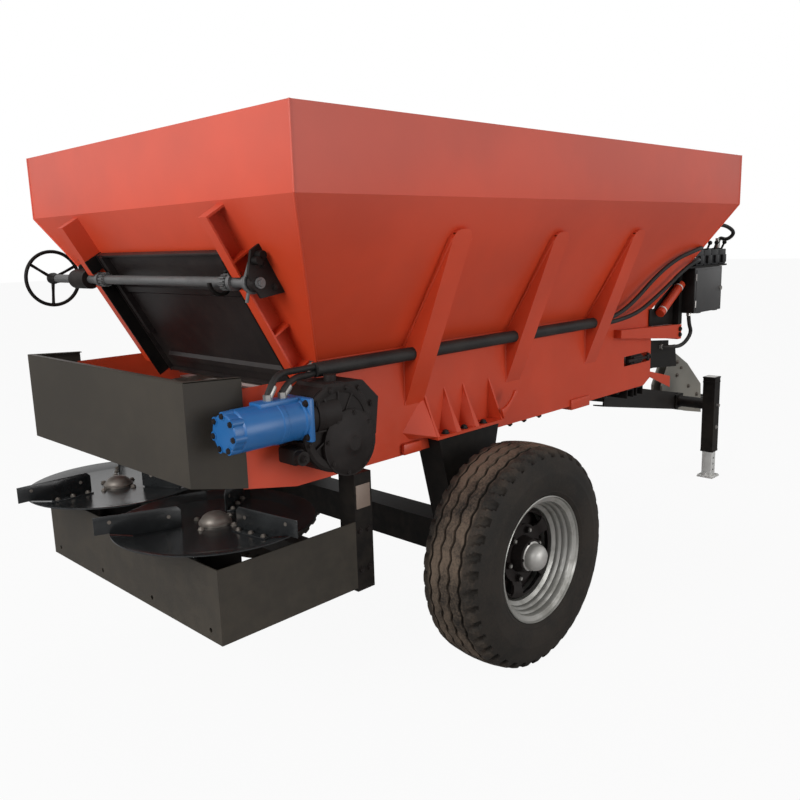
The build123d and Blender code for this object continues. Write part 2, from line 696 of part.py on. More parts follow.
def wheel(side, name):
    half, seat, flange, lip = tyre_half_w, rim_seat_r, rim_flange_r, rim_half_w
    one_side = [(seat + 7, lip - 16), (seat + 1, lip - 14), (flange + 0.5, lip - rim_t - 1),
                (flange + 5, lip + 1), (250, half - 4), (290, half), (325, half - 8), (352, half - 22),
                (366, half - 50), (tyre_r, 37)]
    inner_side = [(353, 28), (343, half - 38), (325, half - 20), (290, half - 14), (250, half - 18),
                  (seat + 20, lip - 24)]
    outline = [(r, -y) for r, y in one_side] + one_side[::-1] + inner_side[::-1]
    outline += [(r, -y) for r, y in inner_side]
    save(f"tyre_{name}", ring_y(outline, 0, side * wheel_y, tyre_r))
    well = seat - 30
    outer = [(flange, lip), (flange, lip - rim_t), (seat, lip - 12), (seat, lip - 60), (well, lip - 80)]
    inner = [(seat - rim_t, lip), (seat - rim_t, lip - 58), (well - rim_t, lip - 78)]
    barrel = [(r, -y) for r, y in outer] + outer[::-1] + inner + [(r, -y) for r, y in inner[::-1]]
    out = rim_disc_out
    edge = well - rim_t + 2
    dish = [(hub_r + 0.5, out), (112, out), (132, out + 14), (edge, out - 12), (edge, out - 20),
            (128, out + 5), (110, out - 8), (hub_r + 0.5, out - 8)]
    rim = ring_y(barrel, 0, 0, 0) + ring_y(dish, 0, 0, 0)
    for i in range(8):
        rim -= Rot(0, 45 * i, 0) * Pos(138, out, 0) * Rot(90, 0, 0) * Cylinder(15, 80)
    bore = spindle_r + shaft_clear
    hub = ring_y([(bore, -74), (hub_r, -74), (hub_r, out - 30), (hub_flange_r, out - 30),
                  (hub_flange_r, out - 8), (hub_r, out - 8), (hub_r, out + 40), (hub_r - 8, out + 66),
                  (hub_r - 24, out + 84), (0, out + 90),
                  (0, spindle_reach + 2), (bore, spindle_reach + 2)], 0, 0, 0)
    for i in range(stud_count):
        stud = Rot(0, 360 / stud_count * i, 0) * Pos(stud_circle_r, out + 2, 0) * Rot(90, 0, 0)
        hub += stud * Cylinder(stud_r, 24)
        rim -= stud * Cylinder(stud_r + 0.2, 40)
    place = Pos(0, side * wheel_y, tyre_r) * (Rot(0, 0, 0) if side > 0 else Rot(0, 0, 180))
    save(f"rim_{name}", place * rim)
    save(f"hub_{name}", place * hub)


# ---- Drawbar ----
def beam_y(x):
    """The drawbar beam's distance from the middle plane at a place along the machine."""
    share = (x - drawbar_root_x) / (drawbar_neck_x - drawbar_root_x)
    return drawbar_root_y + share * (drawbar_neck_y - drawbar_root_y)


def drawbar_bar(side, grow, shape=None):
    """The room one beam takes, grown all round, or a shape laid along the beam."""
    dx = drawbar_neck_x - drawbar_root_x
    dy = side * (drawbar_neck_y - drawbar_root_y)
    dz = drawbar_neck_z - drawbar_root_z
    frame = Plane(origin=(drawbar_root_x, side * drawbar_root_y, drawbar_root_z), x_dir=(dx, dy, dz),
                  z_dir=(dx * -dz, dy * -dz, dx * dx + dy * dy))
    if shape is None:
        half_w, half_h = drawbar_beam_w / 2 + grow, drawbar_beam_h / 2 + grow
        shape = block(-grow, hypot(dx, dy, dz) + grow, -half_w, half_w, -half_h, half_h)
    return frame.location * shape


def drawbar():
    beams = []
    half_w, half_h, t = drawbar_beam_w / 2, drawbar_beam_h / 2, drawbar_beam_t
    for side in (-1, 1):
        hollow = block(-1, 2000, -half_w + t, half_w + 1, -half_h + t, half_h - t)
        beams.append(drawbar_bar(side, 0) - drawbar_bar(side, 0, hollow if side < 0 else mirror_y(hollow)))
    high = chassis_bottom_z - touch
    for x in saddle_xs:
        saddle = block(x, x + saddle_w, -chassis_half_w, chassis_half_w, high - saddle_h, high)
        saddle -= block(x + tube_wall, x + saddle_w - tube_wall, -chassis_half_w - 1, chassis_half_w + 1,
                        high - saddle_h - 1, high - tube_wall)
        beams.append(saddle - drawbar_bar(-1, touch) - drawbar_bar(1, touch))
    save("drawbar_beams", beams)
    inside = head_plate_y - head_plate_t / 2
    head = None
    for side in (-1, 1):
        plate = prism_y(head_outline, side * inside, side * (inside + head_plate_t))
        head = plate if head is None else head + plate
    head += block(drawbar_neck_x + 20, drawbar_neck_x + 95, -inside - 1, inside + 1, drawbar_neck_z,
                  drawbar_neck_z + 90)
    save("drawbar_head", head)
    eye = rod_z(head_tip_x, 0, eye_out_r, head_tip_z - eye_t / 2, head_tip_z + eye_t / 2)
    eye += block(head_tip_x - 170, head_tip_x - 30, -inside, inside, head_tip_z - eye_t / 2,
                 head_tip_z + eye_t / 2)
    eye -= rod_z(head_tip_x, 0, eye_r, head_tip_z - 40, head_tip_z + 40)
    save("hitch_eye", eye)


# ---- Parking jack: it swings up about a pin on the drawbar's arm, and its leg slides ----
def square(x, y, half, z0, z1):
    return block(x - half, x + half, y - half, y + half, z0, z1)


def jack():
    half = jack_size / 2
    tube = square(jack_x, jack_y, half, jack_tube_low_z, jack_top_z)
    tube -= square(jack_x, jack_y, half - jack_wall, jack_tube_low_z - 1, jack_top_z - 10)
    tube += rod_y(jack_x, jack_pivot_z, 32, jack_y + half - 1, jack_y + half + 14)
    save("jack_tube", tube)
    leg = square(jack_x, jack_y, jack_leg_size / 2, jack_foot_t - 1, jack_top_z - jack_travel - 60)
    save("jack_leg", leg + square(jack_x, jack_y, jack_foot_w / 2, 0, jack_foot_t))
    inner_y = -beam_y(jack_x - 45) - drawbar_beam_w / 2 - 2
    deep_y = inner_y + 30
    arm = rod_y(jack_x, jack_pivot_z, 32, jack_y + half + 14.3, inner_y)
    plate = block(jack_x - 45, jack_x + 45, inner_y - 8, deep_y, jack_pivot_z - 40, jack_pivot_z + 40)
    save("jack_arm", arm + (plate - drawbar_bar(-1, touch)))


# ---- Front stand ----
def front_stand():
    inside = chassis_half_w - chassis_sheet
    rear_low, rear_high = front_bar_rear_zs
    front_low, front_high = front_bar_front_zs
    outline = [(front_bar_rear_x, rear_low), (front_bar_rear_x, rear_high), (front_bar_front_x, front_high),
               (front_bar_front_x, front_low)]
    bar_y = chassis_half_w + front_bar_w
    frame = block(front_bar_front_x - front_bar_w, front_bar_front_x, -bar_y, bar_y, front_low, front_high)
    for side in (-1, 1):
        frame += prism_y(outline, side * chassis_half_w, side * bar_y)
    save("front_frame", frame)
    save("front_plates", [prism_y(front_plate_outline, side * inside, side * (inside - front_plate_t))
                          for side in (-1, 1)])
    post_x = front_bar_front_x - stand_post_w
    back_y = box_y1 + touch
    stand = block(post_x, front_bar_front_x, -bar_y, back_y + 8, front_high + 2, box_z1 + 8)
    stand += block(post_x, box_x1, back_y, back_y + 8, box_z0, box_z1 + 8)
    stand += block(post_x, valve_x1, box_y0 + 10, back_y + 8, box_z1 + touch, box_z1 + 8)
    save("valve_stand", stand)
    box = block(box_x0, box_x1, box_y0, box_y1, box_z0, box_z1)
    hollow = block(box_x0 + box_wall, box_x1 - box_wall, box_y0 + box_wall, box_y1 - box_wall,
                   box_z0 + box_wall, box_z1 - box_wall)
    save("control_box", box - hollow)
    valve_z = box_z1 + 8 + touch
    valve = block(valve_x0, valve_x1, box_y0 + 14, back_y, valve_z, valve_z + valve_h)
    save("control_valve", valve)


# ---- Hoses: a conduit through the ribs, a pair to the motor and a pair to the valve ----
def hose(points, radii, r):
    path = FilletPolyline(*points, radius=radii)
    return sweep(Plane(origin=path @ 0, z_dir=path % 0) * Circle(r), path=path)


def hoses():
    save("hose_conduit", rod_x(conduit_y, conduit_z, conduit_r, conduit_x0, conduit_x1))
    pieces = []
    for x, rise, lift in ((port_xs[0], hose_rise, 6.5), (port_xs[1], -hose_rise, hose_tilt)):
        points = [(x, -worm_y, port_top_z + lift), (x + 50, -worm_y + 16, conduit_z + rise),
                  (conduit_x0 - touch - hose_tilt / 3, conduit_y, conduit_z + rise)]
        pieces.append(hose(points, 60, hose_r))
    for points, radii in front_hose_routes:
        pieces.append(hose(points, radii, hose_r))
    save("hydraulic_hoses", pieces)


hopper_panels()
side_ribs()
chassis()
gate()
rear_posts()
save("shaft_bearings", conveyor() + gate_shaft())
drive()
hood()
spinner(-1, "right")
spinner(1, "left")
spinner_drive()
guard()
axle()
wheel(-1, "right")
wheel(1, "left")
drawbar()
jack()
front_stand()
hoses()
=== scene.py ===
import json
import math
import bmesh
import bpy
from mathutils import Matrix, Vector


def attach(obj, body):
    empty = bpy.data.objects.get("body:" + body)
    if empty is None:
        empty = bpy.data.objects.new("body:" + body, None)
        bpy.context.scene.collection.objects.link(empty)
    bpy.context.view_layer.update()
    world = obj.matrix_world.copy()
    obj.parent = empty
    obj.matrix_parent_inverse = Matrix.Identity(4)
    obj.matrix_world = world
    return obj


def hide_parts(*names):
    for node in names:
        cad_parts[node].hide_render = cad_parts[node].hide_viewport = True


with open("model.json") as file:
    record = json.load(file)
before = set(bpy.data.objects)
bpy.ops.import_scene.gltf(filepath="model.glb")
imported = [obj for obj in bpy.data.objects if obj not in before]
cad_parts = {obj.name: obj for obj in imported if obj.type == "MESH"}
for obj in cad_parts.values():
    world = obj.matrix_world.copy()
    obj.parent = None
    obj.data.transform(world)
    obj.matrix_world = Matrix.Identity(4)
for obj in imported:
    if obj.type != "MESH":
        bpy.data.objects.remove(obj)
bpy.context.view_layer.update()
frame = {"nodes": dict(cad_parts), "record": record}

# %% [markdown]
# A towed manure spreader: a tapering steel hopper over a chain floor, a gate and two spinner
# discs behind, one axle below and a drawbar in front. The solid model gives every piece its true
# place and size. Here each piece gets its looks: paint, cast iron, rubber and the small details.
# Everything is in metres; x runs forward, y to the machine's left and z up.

TURN = 2 * math.pi
SIDES = (-1, 1)                    # the right side, then the left one
WHEELS = (("right", -1), ("left", 1))
AXLE_X = -0.902                    # the axle's place along the machine
WHEEL_Y, WHEEL_Z = 0.731, 0.373    # the wheels' middles: out to the side and above the ground
scene = bpy.context.scene

# %% [markdown]
# The camera stands behind the right rear corner at about chest height. A camera can be turned
# with angles, but a matrix made of its right, up and back directions is exact, so that is used.

# %% Camera
SENSOR = 36.0                      # the sensor's width and the focal length, in millimetres
FOCAL = SENSOR * 817.16 / 800.0

data = bpy.data.cameras.new("camera")
data.sensor_width = SENSOR
data.lens = FOCAL
data.clip_end = 200.0
camera = bpy.data.objects.new("camera", data)
right = Vector((0.700269, -0.713245, -0.030063))
up = Vector((0.156434, 0.112228, 0.981292))
turn = Matrix((right, up, right.cross(up))).transposed().to_4x4()
camera.matrix_world = Matrix.Translation((-2.1088 + AXLE_X, -2.294, 1.40802)) @ turn
scene.collection.objects.link(camera)
scene.camera = camera
print("camera at", [round(v, 2) for v in camera.location])

# %% [markdown]
# Shader maths is easier to read as a sum than as boxes and wires. This small class wraps one
# output of a node: adding or multiplying two of them adds the Math node, and `node` adds any
# other kind with its settings first and then the values or links of its sockets.

# %% Shader values
class Value:
    def __init__(self, tree, socket=None):
        self.tree = tree
        self.socket = socket

    def node(self, kind, settings=None, inputs=None, output=0):
        made = self.tree.nodes.new(kind)
        for name, value in (settings or {}).items():
            setattr(made, name, value)
        for name, value in (inputs or {}).items():
            if isinstance(value, Value):
                self.tree.links.new(value.socket, made.inputs[name])
            else:
                made.inputs[name].default_value = value
        return Value(self.tree, made.outputs[output])

    def maths(self, operation, first, second):
        return self.node("ShaderNodeMath", {"operation": operation}, {0: first, 1: second})

    def __add__(self, other):
        return self.maths("ADD", self, other)

    def __sub__(self, other):
        return self.maths("SUBTRACT", self, other)

    def __rsub__(self, other):
        return self.maths("SUBTRACT", other, self)

    def __mul__(self, other):
        return self.maths("MULTIPLY", self, other)

    __radd__, __rmul__ = __add__, __mul__

    def noise(self, place, scale, detail=3.0, roughness=0.5):
        return self.node("ShaderNodeTexNoise", None, {
            "Vector": place, "Scale": scale, "Detail": detail, "Roughness": roughness})

    def ramp(self, value, low, high):
        """0 below low, 1 above high, smooth between."""
        return self.node("ShaderNodeMapRange", {"interpolation_type": "SMOOTHSTEP"},
                         {"Value": value, "From Min": low, "From Max": high})

    def blend(self, factor, first, second):
        """The first colour where the factor is 0, the second where it is 1."""
        mixed = self.tree.nodes.new("ShaderNodeMix")
        mixed.data_type = "RGBA"
        sockets = {s.identifier: s for s in mixed.inputs}
        for name, value in (("Factor_Float", factor), ("A_Color", first), ("B_Color", second)):
            if isinstance(value, Value):
                self.tree.links.new(value.socket, sockets[name])
            else:
                sockets[name].default_value = (*value, 1.0)
        return Value(self.tree, next(s for s in mixed.outputs if s.identifier == "Result_Color"))


def new_material(name):
    """A material with its shader, the maths helper, and places on the object for patterns."""
    material = bpy.data.materials.new(name)
    material.use_nodes = True
    tree = material.node_tree
    shader = tree.nodes["Principled BSDF"]
    maths = Value(tree)
    place = maths.node("ShaderNodeTexCoord", output="Object")
    return material, shader, maths, place


def feed(maths, shader, **values):
    """Links values to the shader's sockets; a plain number is set on its socket."""
    names = {"colour": "Base Color", "rough": "Roughness", "metal": "Metallic",
             "shine": "Specular IOR Level"}
    for name, value in values.items():
        if name == "height":
            inputs = dict(zip(("Strength", "Distance", "Height"), value))
            bump = maths.node("ShaderNodeBump", None, inputs, output="Normal")
            maths.tree.links.new(bump.socket, shader.inputs["Normal"])
        elif isinstance(value, Value):
            maths.tree.links.new(value.socket, shader.inputs[names[name]])
        else:
            shader.inputs[names[name]].default_value = value


print("shader helper ready")

# %% [markdown]
# Painted steel is never one flat colour. The spray is thicker here and thinner there, dust settles
# low down and dulls the gloss, and the surface has faint dimples. Noise at three sizes gives all
# of that. One function makes every paint on the machine, and three more its metals and rubber.

# %% Paints
LOW, SHEEN_AND_FADE_Z = (0.25, 1.3), (1.35, 1.72)      # heights between which dust thins out, then those over which a pale painted reflection and some fading come in
RIBS_R, RIBS_SIDE, LUGS_R = (0.3655, 0.3685), (0.058, 0.072), (0.346, 0.356)   # where a tread wears


def paint(name, colour, shade=0.8, rough=0.38, dust=0.25, dust_colour=(0.32, 0.25, 0.19),
          dimple=0.12, shine=0.45, sheen_and_fade=0.0):
    material, shader, maths, place = new_material(name)
    broad = maths.noise(place, 1.7, 4.0, 0.55)
    spots = maths.noise(place, 23.0, 5.0, 0.6)
    fine = maths.noise(place, 420.0, 2.0)
    darker = tuple(c * shade for c in colour)
    body = maths.blend(maths.ramp(broad, 0.34, 0.68), darker, colour)
    height = maths.node("ShaderNodeSeparateXYZ", None, {"Vector": place}, output="Z")
    low = 1.0 - maths.ramp(height, *LOW)
    film = (0.25 + 0.75 * low) * maths.ramp(spots * 0.6 + broad * 0.5, 0.42, 0.72) * dust
    # a pale pink toward the top: a painted reflection of the white room on the upper band, along
    # with some fading
    if sheen_and_fade:
        body = maths.blend(maths.ramp(height, *SHEEN_AND_FADE_Z) * sheen_and_fade, body, (0.62, 0.42, 0.42))
    feed(maths, shader, colour=maths.blend(film, body, dust_colour),
         rough=rough + 0.1 * broad + 0.3 * film + 0.05 * spots, shine=shine,
         height=(dimple, 0.0006, fine + 0.6 * spots))
    return material


def bare_metal(name, colour, dark, rough=0.32, worn=0.5, metal=1.0):
    material, shader, maths, place = new_material(name)
    scratches = maths.noise(place, 90.0, 4.0, 0.65)
    stains = maths.noise(place, 9.0, 4.0, 0.6)
    mask = maths.ramp(stains, 0.4, 0.66) * worn
    feed(maths, shader, colour=maths.blend(mask, colour, dark), metal=metal - 0.5 * mask,
         rough=rough + 0.18 * scratches + 0.3 * mask, height=(0.2, 0.0003, scratches))
    return material


def casting(name, colour, rough=0.5, lighter=0.01, shine=0.3):
    material, shader, maths, place = new_material(name)
    sand = maths.noise(place, 260.0, 4.0, 0.7)
    broad = maths.noise(place, 12.0, 3.0)
    worn = tuple(c * 2.2 + lighter for c in colour)
    feed(maths, shader, colour=maths.blend(maths.ramp(broad, 0.45, 0.8) * 0.5, colour, worn),
         rough=rough + 0.15 * broad, shine=shine, height=(0.35, 0.0008, sand))
    return material


def rubber(name, colour, dust_colour, dust=0.6, rough=0.72, tread=False):
    """Black rubber; the road browns a tyre's tread, which is far from the axle, not its sides."""
    material, shader, maths, place = new_material(name)
    broad = maths.noise(place, 6.0, 4.0, 0.6)
    fine = maths.noise(place, 150.0, 3.0, 0.6)
    film = maths.ramp(broad * 0.7 + fine * 0.3, 0.36, 0.62) * dust
    if tread:
        flat = maths.node("ShaderNodeMapping", None, {
            "Vector": place, "Location": (-AXLE_X, 0.0, -WHEEL_Z), "Scale": (1.0, 0.0, 1.0)})
        radius = maths.node("ShaderNodeVectorMath", {"operation": "LENGTH"}, {0: flat},
                            output="Value")
        across = maths.node("ShaderNodeSeparateXYZ", None, {"Vector": place}, output="Y")
        side = maths.maths("ABSOLUTE", maths.maths("ABSOLUTE", across, 0.0) - WHEEL_Y, 0.0)
        ribs = maths.ramp(radius, *RIBS_R) * (1.0 - maths.ramp(side, *RIBS_SIDE))
        lugs = maths.ramp(radius, *LUGS_R)
        film = film * (0.1 + 0.18 * lugs + 0.72 * ribs)
    feed(maths, shader, colour=maths.blend(film, colour, dust_colour),
         rough=rough + 0.15 * film, shine=0.2, height=(0.25, 0.0006, fine))
    return material


print("paint makers ready")

# %% [markdown]
# Every finish of the machine, by slot. The colours are linear values, which are lower than the
# shades they show.

# %% Finishes
finishes = {
    "body_paint": paint("orange_paint", (0.62, 0.056, 0.0155), 0.82, 0.36, dust=0.06,
                        shine=0.42, sheen_and_fade=0.11),
    "frame_black": paint("black_paint", (0.006, 0.005, 0.0046), 0.7, 0.46, dust=0.04, shine=0.16),
    "guard_paint": paint("brown_grey_paint", (0.036, 0.0305, 0.0235), 0.8, 0.5, dust=0.2,
                         dust_colour=(0.1, 0.082, 0.06), shine=0.28),
    "gate_paint": paint("gate_black", (0.014, 0.01, 0.01), 0.7, 0.34, dust=0.1, shine=0.4),
    "bright_steel": bare_metal("turned_steel", (0.46, 0.45, 0.43), (0.1, 0.09, 0.08)),
    "chain_steel": bare_metal("oiled_steel", (0.2, 0.18, 0.16), (0.05, 0.035, 0.025), 0.42),
    "shaft_steel": bare_metal("shaft_steel", (0.16, 0.16, 0.16), (0.05, 0.05, 0.05), 0.45,
                              metal=0.8),
    "disc_steel": paint("disc_black", (0.012, 0.013, 0.014), 0.6, 0.14, dust=0.12,
                        dust_colour=(0.1, 0.11, 0.11), dimple=0.05),
    "cast_black": casting("black_casting", (0.008, 0.0055, 0.0048), 0.52, lighter=0.008,
                          shine=0.22),
    "head_grey": paint("olive_grey_paint", (0.23, 0.22, 0.19), 0.7, 0.36, dust=0.12),
    "motor_blue": paint("blue_paint", (0.012, 0.125, 0.36), 0.75, 0.28, dust=0.05),
    "rim_silver": bare_metal("silver_paint", (0.36, 0.355, 0.335), (0.13, 0.125, 0.105), 0.32,
                             0.6, 0.75),
    "hub_paint": bare_metal("cap_metal", (0.52, 0.51, 0.49), (0.22, 0.21, 0.19), 0.3, 0.4, 0.7),
    "tyre_rubber": rubber("tyre_rubber", (0.013, 0.0115, 0.01), (0.175, 0.13, 0.095), dust=0.75,
                          tread=True),
    "hose_rubber": rubber("hose_rubber", (0.012, 0.012, 0.012), (0.06, 0.055, 0.05), dust=0.3,
                          rough=0.5),
    "box_grey": paint("box_grey", (0.046, 0.046, 0.047), 0.8, 0.38, dust=0.08),
    "valve_cast": casting("valve_casting", (0.01, 0.01, 0.011), 0.45),
    "pale_zinc": bare_metal("zinc_coat", (0.72, 0.72, 0.7), (0.42, 0.41, 0.38), 0.42, 0.35, 0.35),
    "dull_plate": paint("dull_plate", (0.22, 0.165, 0.135), 0.85, 0.4),
}

# each node of the solid model gets this script's finish for its slot in the record
slots = {row["node"]: row["material_slot"] for row in frame["record"]["subparts"]}
for name, node in frame["nodes"].items():
    node.data.materials.clear()
    node.data.materials.append(finishes[slots[name]])
print(len(finishes), "finishes on", len(slots), "nodes")

# %% [markdown]
# New pieces are shaped in one bmesh, `bm`, as on a bench. `keep` takes what lies there as a
# finished piece and leaves the bench empty: doubles merged, normals outward, smooth where the
# faces meet gently, riding on its body. Places are measured from the axle, and `keep` moves the
# piece along the machine to where the axle stands.

# %% Keeping pieces
bm = bmesh.new()
SEAM, CLOSE = 0.00002, 0.00005     # points nearer than this become one: round a lathe, in a piece


def mm(*points):
    """Points written in millimetres, as metres."""
    return [tuple(value / 1000 for value in point) for point in points]


def keep(name, finish, body="frame", replaces=(), smooth=32.0, slot=None):
    bm.transform(at(AXLE_X, 0, 0))
    bmesh.ops.remove_doubles(bm, verts=bm.verts, dist=CLOSE)
    bmesh.ops.recalc_face_normals(bm, faces=bm.faces)
    mesh = bpy.data.meshes.new(name)
    bm.to_mesh(mesh)
    bm.clear()
    mesh.polygons.foreach_set("use_smooth", [True] * len(mesh.polygons))
    mesh.set_sharp_from_angle(angle=math.radians(smooth))
    mesh.materials.append(finishes[finish])
    made = bpy.data.objects.new(name, mesh)
    scene.collection.objects.link(made)
    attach(made, body)
    if replaces:
        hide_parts(*replaces)
    return made


def at(x, y, z):
    return Matrix.Translation((x, y, z))


def turned(axis, degrees):
    return Matrix.Rotation(math.radians(degrees), 4, axis)


print("bench ready")

# %% [markdown]
# A few functions make nearly every shape: a lathe for what is round, an extruded outline for
# sheet and plate, a box with its edges bevelled, and a bolt set down wherever one is needed.

# %% Shapes
def lathe(profile, steps=96, matrix=None, closed=True):
    """Turns a (radius, y) outline about the y axis."""
    start = [bm.verts.new((r, y, 0.0)) for r, y in profile]
    edges = [bm.edges.new(pair) for pair in zip(start, start[1:])]
    if closed:
        edges.append(bm.edges.new((start[-1], start[0])))
    before = set(bm.verts) - set(start)
    bmesh.ops.spin(bm, geom=start + edges, cent=(0, 0, 0), axis=(0, 1, 0), angle=TURN, steps=steps,
                   use_merge=True)
    made = [v for v in bm.verts if v not in before]
    bmesh.ops.remove_doubles(bm, verts=made, dist=SEAM)
    made = [v for v in bm.verts if v not in before]
    if matrix is not None:
        bmesh.ops.transform(bm, matrix=matrix, verts=made)
    return made


def round_and_move(made, bevel, matrix):
    if bevel:
        edges = list(dict.fromkeys(e for v in made for e in v.link_edges))
        made = bmesh.ops.bevel(bm, geom=edges, offset=bevel, segments=2, affect="EDGES",
                               profile=0.5, material=-1)["verts"]
    if matrix is not None:
        bmesh.ops.transform(bm, matrix=matrix, verts=made)


def box(low, high, bevel=0.0, matrix=None):
    """A box between two corners, its edges rounded."""
    size = [h - l for l, h in zip(low, high)]
    middle = [(h + l) / 2 for l, h in zip(low, high)]
    shape = at(*middle) @ Matrix.Diagonal((*size, 1.0))
    made = bmesh.ops.create_cube(bm, size=1.0, matrix=shape)["verts"]
    round_and_move(made, bevel, matrix)


def plate(outline, thick, bevel=0.0, matrix=None):
    """An (x, z) outline made solid along y, from 0 to its thickness."""
    face = bm.faces.new([bm.verts.new((x, 0.0, z)) for x, z in outline])
    grown = bmesh.ops.extrude_face_region(bm, geom=[face])["geom"]
    top = [g for g in grown if isinstance(g, bmesh.types.BMVert)]
    bmesh.ops.translate(bm, vec=(0, thick, 0), verts=top)
    round_and_move(list(face.verts) + top, bevel, matrix)


def disc(radius, low, high, matrix=None, sides=32, top=None):
    """A round bar or cone along z."""
    bmesh.ops.create_cone(bm, cap_ends=True, segments=sides, radius1=radius,
                          radius2=radius if top is None else top, depth=high - low,
                          matrix=(matrix or Matrix()) @ at(0, 0, (low + high) / 2))


def bolt(matrix, size, washer=True, height=None):
    """A hexagon head on a washer, standing on the matrix's plane z = 0 and rising along z."""
    head = height or size * 0.62
    lift = size * 0.18 if washer else 0.0
    if washer:
        disc(size * 1.15, 0.0, lift, matrix, 20)
    disc(size, lift, lift + head, matrix @ turned("Z", 10), 6, top=size * 0.92)
    disc(size * 0.52, lift + head, lift + head * 1.35, matrix, 12, top=size * 0.46)


# turns that lay a bar's or a bolt's z along another way
RIGHT, LEFT = turned("X", 90), turned("X", -90)
OUTWARD = dict(zip(SIDES, (RIGHT, LEFT)))
FORWARD, BACKWARD = turned("Y", 90), turned("Y", -90)
DOWN = turned("X", 180)
print("shapes ready")

# %% [markdown]
# The tyre is a farm implement tyre: three wavy ribs run round the middle and short slanted
# lugs cut into each shoulder. A texture could fake that, but the outline would stay round, so
# the ribs are in the section that is turned, and then the turned points are moved: the ribs
# sideways in a wave, the shoulders inward where a notch falls.

# %% Tyres
SMALLER, NARROWER = 0.9985, 0.915       # the sections below are drawn for a slightly larger wheel
WAVES, WAVE_STEPS = 40, 8               # waves round the tyre and the lathe's steps in each
RIB_FOOT_R, RIBS_HALF, MIDDLE_RIB_HALF = 0.3595, 0.07, 0.03
WAVE_SIDEWAYS = 0.0042
SHOULDER_R, SHOULDER_IN, SHOULDER_OUT = 0.349, 0.086, 0.114
NOTCH_SHARE = 0.42         # of each lug's length round the shoulder

# (radius, distance from the middle), from the bead outwards to the crown: one half
tyre_half = mm(
    (195, 103), (211.5, 110), (216, 118), (223, 121.5), (225.5, 124), (230, 124), (232.5, 125.5),
    (248, 129), (266, 130.8), (285, 130.6), (290, 131), (293, 129.6), (310, 127.5), (326, 123.5),
    (340, 118), (350, 112.5), (358, 106), (363, 98.5), (366, 88), (367.5, 78), (368.5, 68.5),
    (360, 66.5), (360, 60), (370, 58), (371.8, 42), (372.8, 26), (364, 24), (364, 17.5),
    (373.5, 15.5))
tyre_inside = mm((350, 60), (340, 95), (310, 112), (260, 115), (220, 100))


def shape_tread():
    for v in bm.verts:
        radius = math.hypot(v.co.x, v.co.z)
        turn = math.atan2(v.co.z, v.co.x) / TURN * WAVES % 1.0
        wave = abs(turn - 0.5) * 4.0 - 1.0
        wave = wave * (1.35 - 0.35 * wave * wave)          # a zigzag with its points rounded
        side = abs(v.co.y)
        if radius > RIB_FOOT_R and side < RIBS_HALF:
            v.co.y += WAVE_SIDEWAYS * wave * (1.0 if side < MIDDLE_RIB_HALF else 0.8)
        slant = (side - 0.09) * 9.0
        phase = (turn + (0.5 if v.co.y > 0 else 0.0) + slant) % 1.0
        if SHOULDER_IN < side < SHOULDER_OUT and radius > SHOULDER_R and phase < NOTCH_SHARE:
            sink = 0.016 if side > 0.095 else 0.009
            v.co.x *= 1 - sink / radius
            v.co.z *= 1 - sink / radius
            v.co.y -= math.copysign(0.003, v.co.y)


def make_tyre(name, side):
    outline = tyre_half + [(r, -y) for r, y in tyre_half[::-1]]
    outline += [(r, -y) for r, y in tyre_inside[::-1]] + tyre_inside
    lathe(outline, WAVES * WAVE_STEPS)
    shape_tread()
    bm.transform(Matrix.Diagonal((SMALLER, NARROWER, SMALLER, 1.0)))
    bm.transform(at(0, side * WHEEL_Y, WHEEL_Z))
    keep(f"tread_tyre_{name}", "tyre_rubber", f"wheel_{name}", [f"tyre_{name}"], smooth=40)


for wheel in WHEELS:
    make_tyre(*wheel)
print("tyre steps", WAVES * WAVE_STEPS)

# %% [markdown]
# The rim is a pressed barrel with stepped seats and a rolled edge, and inside it a dished disc
# with large openings. Both are turned; the openings are made by deleting faces of the turned
# disc before it is given its thickness, which keeps their edges in line with the disc's dish.

# %% Rims
def keep_on_wheel(kind, finish, name, side, *replaced, smooth=32.0):
    """Turns y outward, moves the piece to the wheel's middle and keeps it."""
    bm.transform(at(0, side * WHEEL_Y, WHEEL_Z) @ turned("Z", 0 if side > 0 else 180))
    nodes = [f"{node}_{name}" for node in replaced]
    return keep(f"{kind}_{name}", finish, f"wheel_{name}", nodes, smooth)


rim_half = mm(
    (209, 117), (211.8, 115.5), (211.2, 111), (205, 109.5), (196.5, 105.5), (194, 100), (193.5, 86),
    (189, 82), (186.5, 78), (185.5, 64), (180, 59), (177.5, 55), (176.5, 44), (169, 39), (164, 34))
rim_barrel = rim_half + [(r, -y) for r, y in rim_half[::-1]]
DISC_OPENINGS = 5
SHADE_R, SHADE_HALF = 0.15, 0.035      # how far out and to either side the rim's disc is painted black, as painted shade for the wheel's deep middle


def rim_disc():
    """The dished disc, with each opening cut so many degrees to either side of its middle."""
    dish = mm((62.5, 20), (80, 20), (99, 21), (108, 27), (120, 33), (133, 36), (146, 32), (154, 22),
              (157.5, 8), (158, -6))
    made = lathe(dish, 120, closed=False)
    faces = list(dict.fromkeys(f for v in made for f in v.link_faces))
    holes = []
    for f in faces:
        middle = f.calc_center_median()
        turn = math.degrees(math.atan2(middle.z, middle.x)) % (360 / DISC_OPENINGS)
        radius = math.hypot(middle.x, middle.z)
        reach = 23 if 0.108 < radius < 0.146 else 20 if 0.099 < radius <= 0.108 else 0
        if abs(turn - 180 / DISC_OPENINGS) < reach:
            holes.append(f)
    bmesh.ops.delete(bm, geom=holes, context="FACES")
    rest = [f for f in faces if f.is_valid]
    bmesh.ops.recalc_face_normals(bm, faces=rest)
    bmesh.ops.solidify(bm, geom=rest, thickness=0.007)


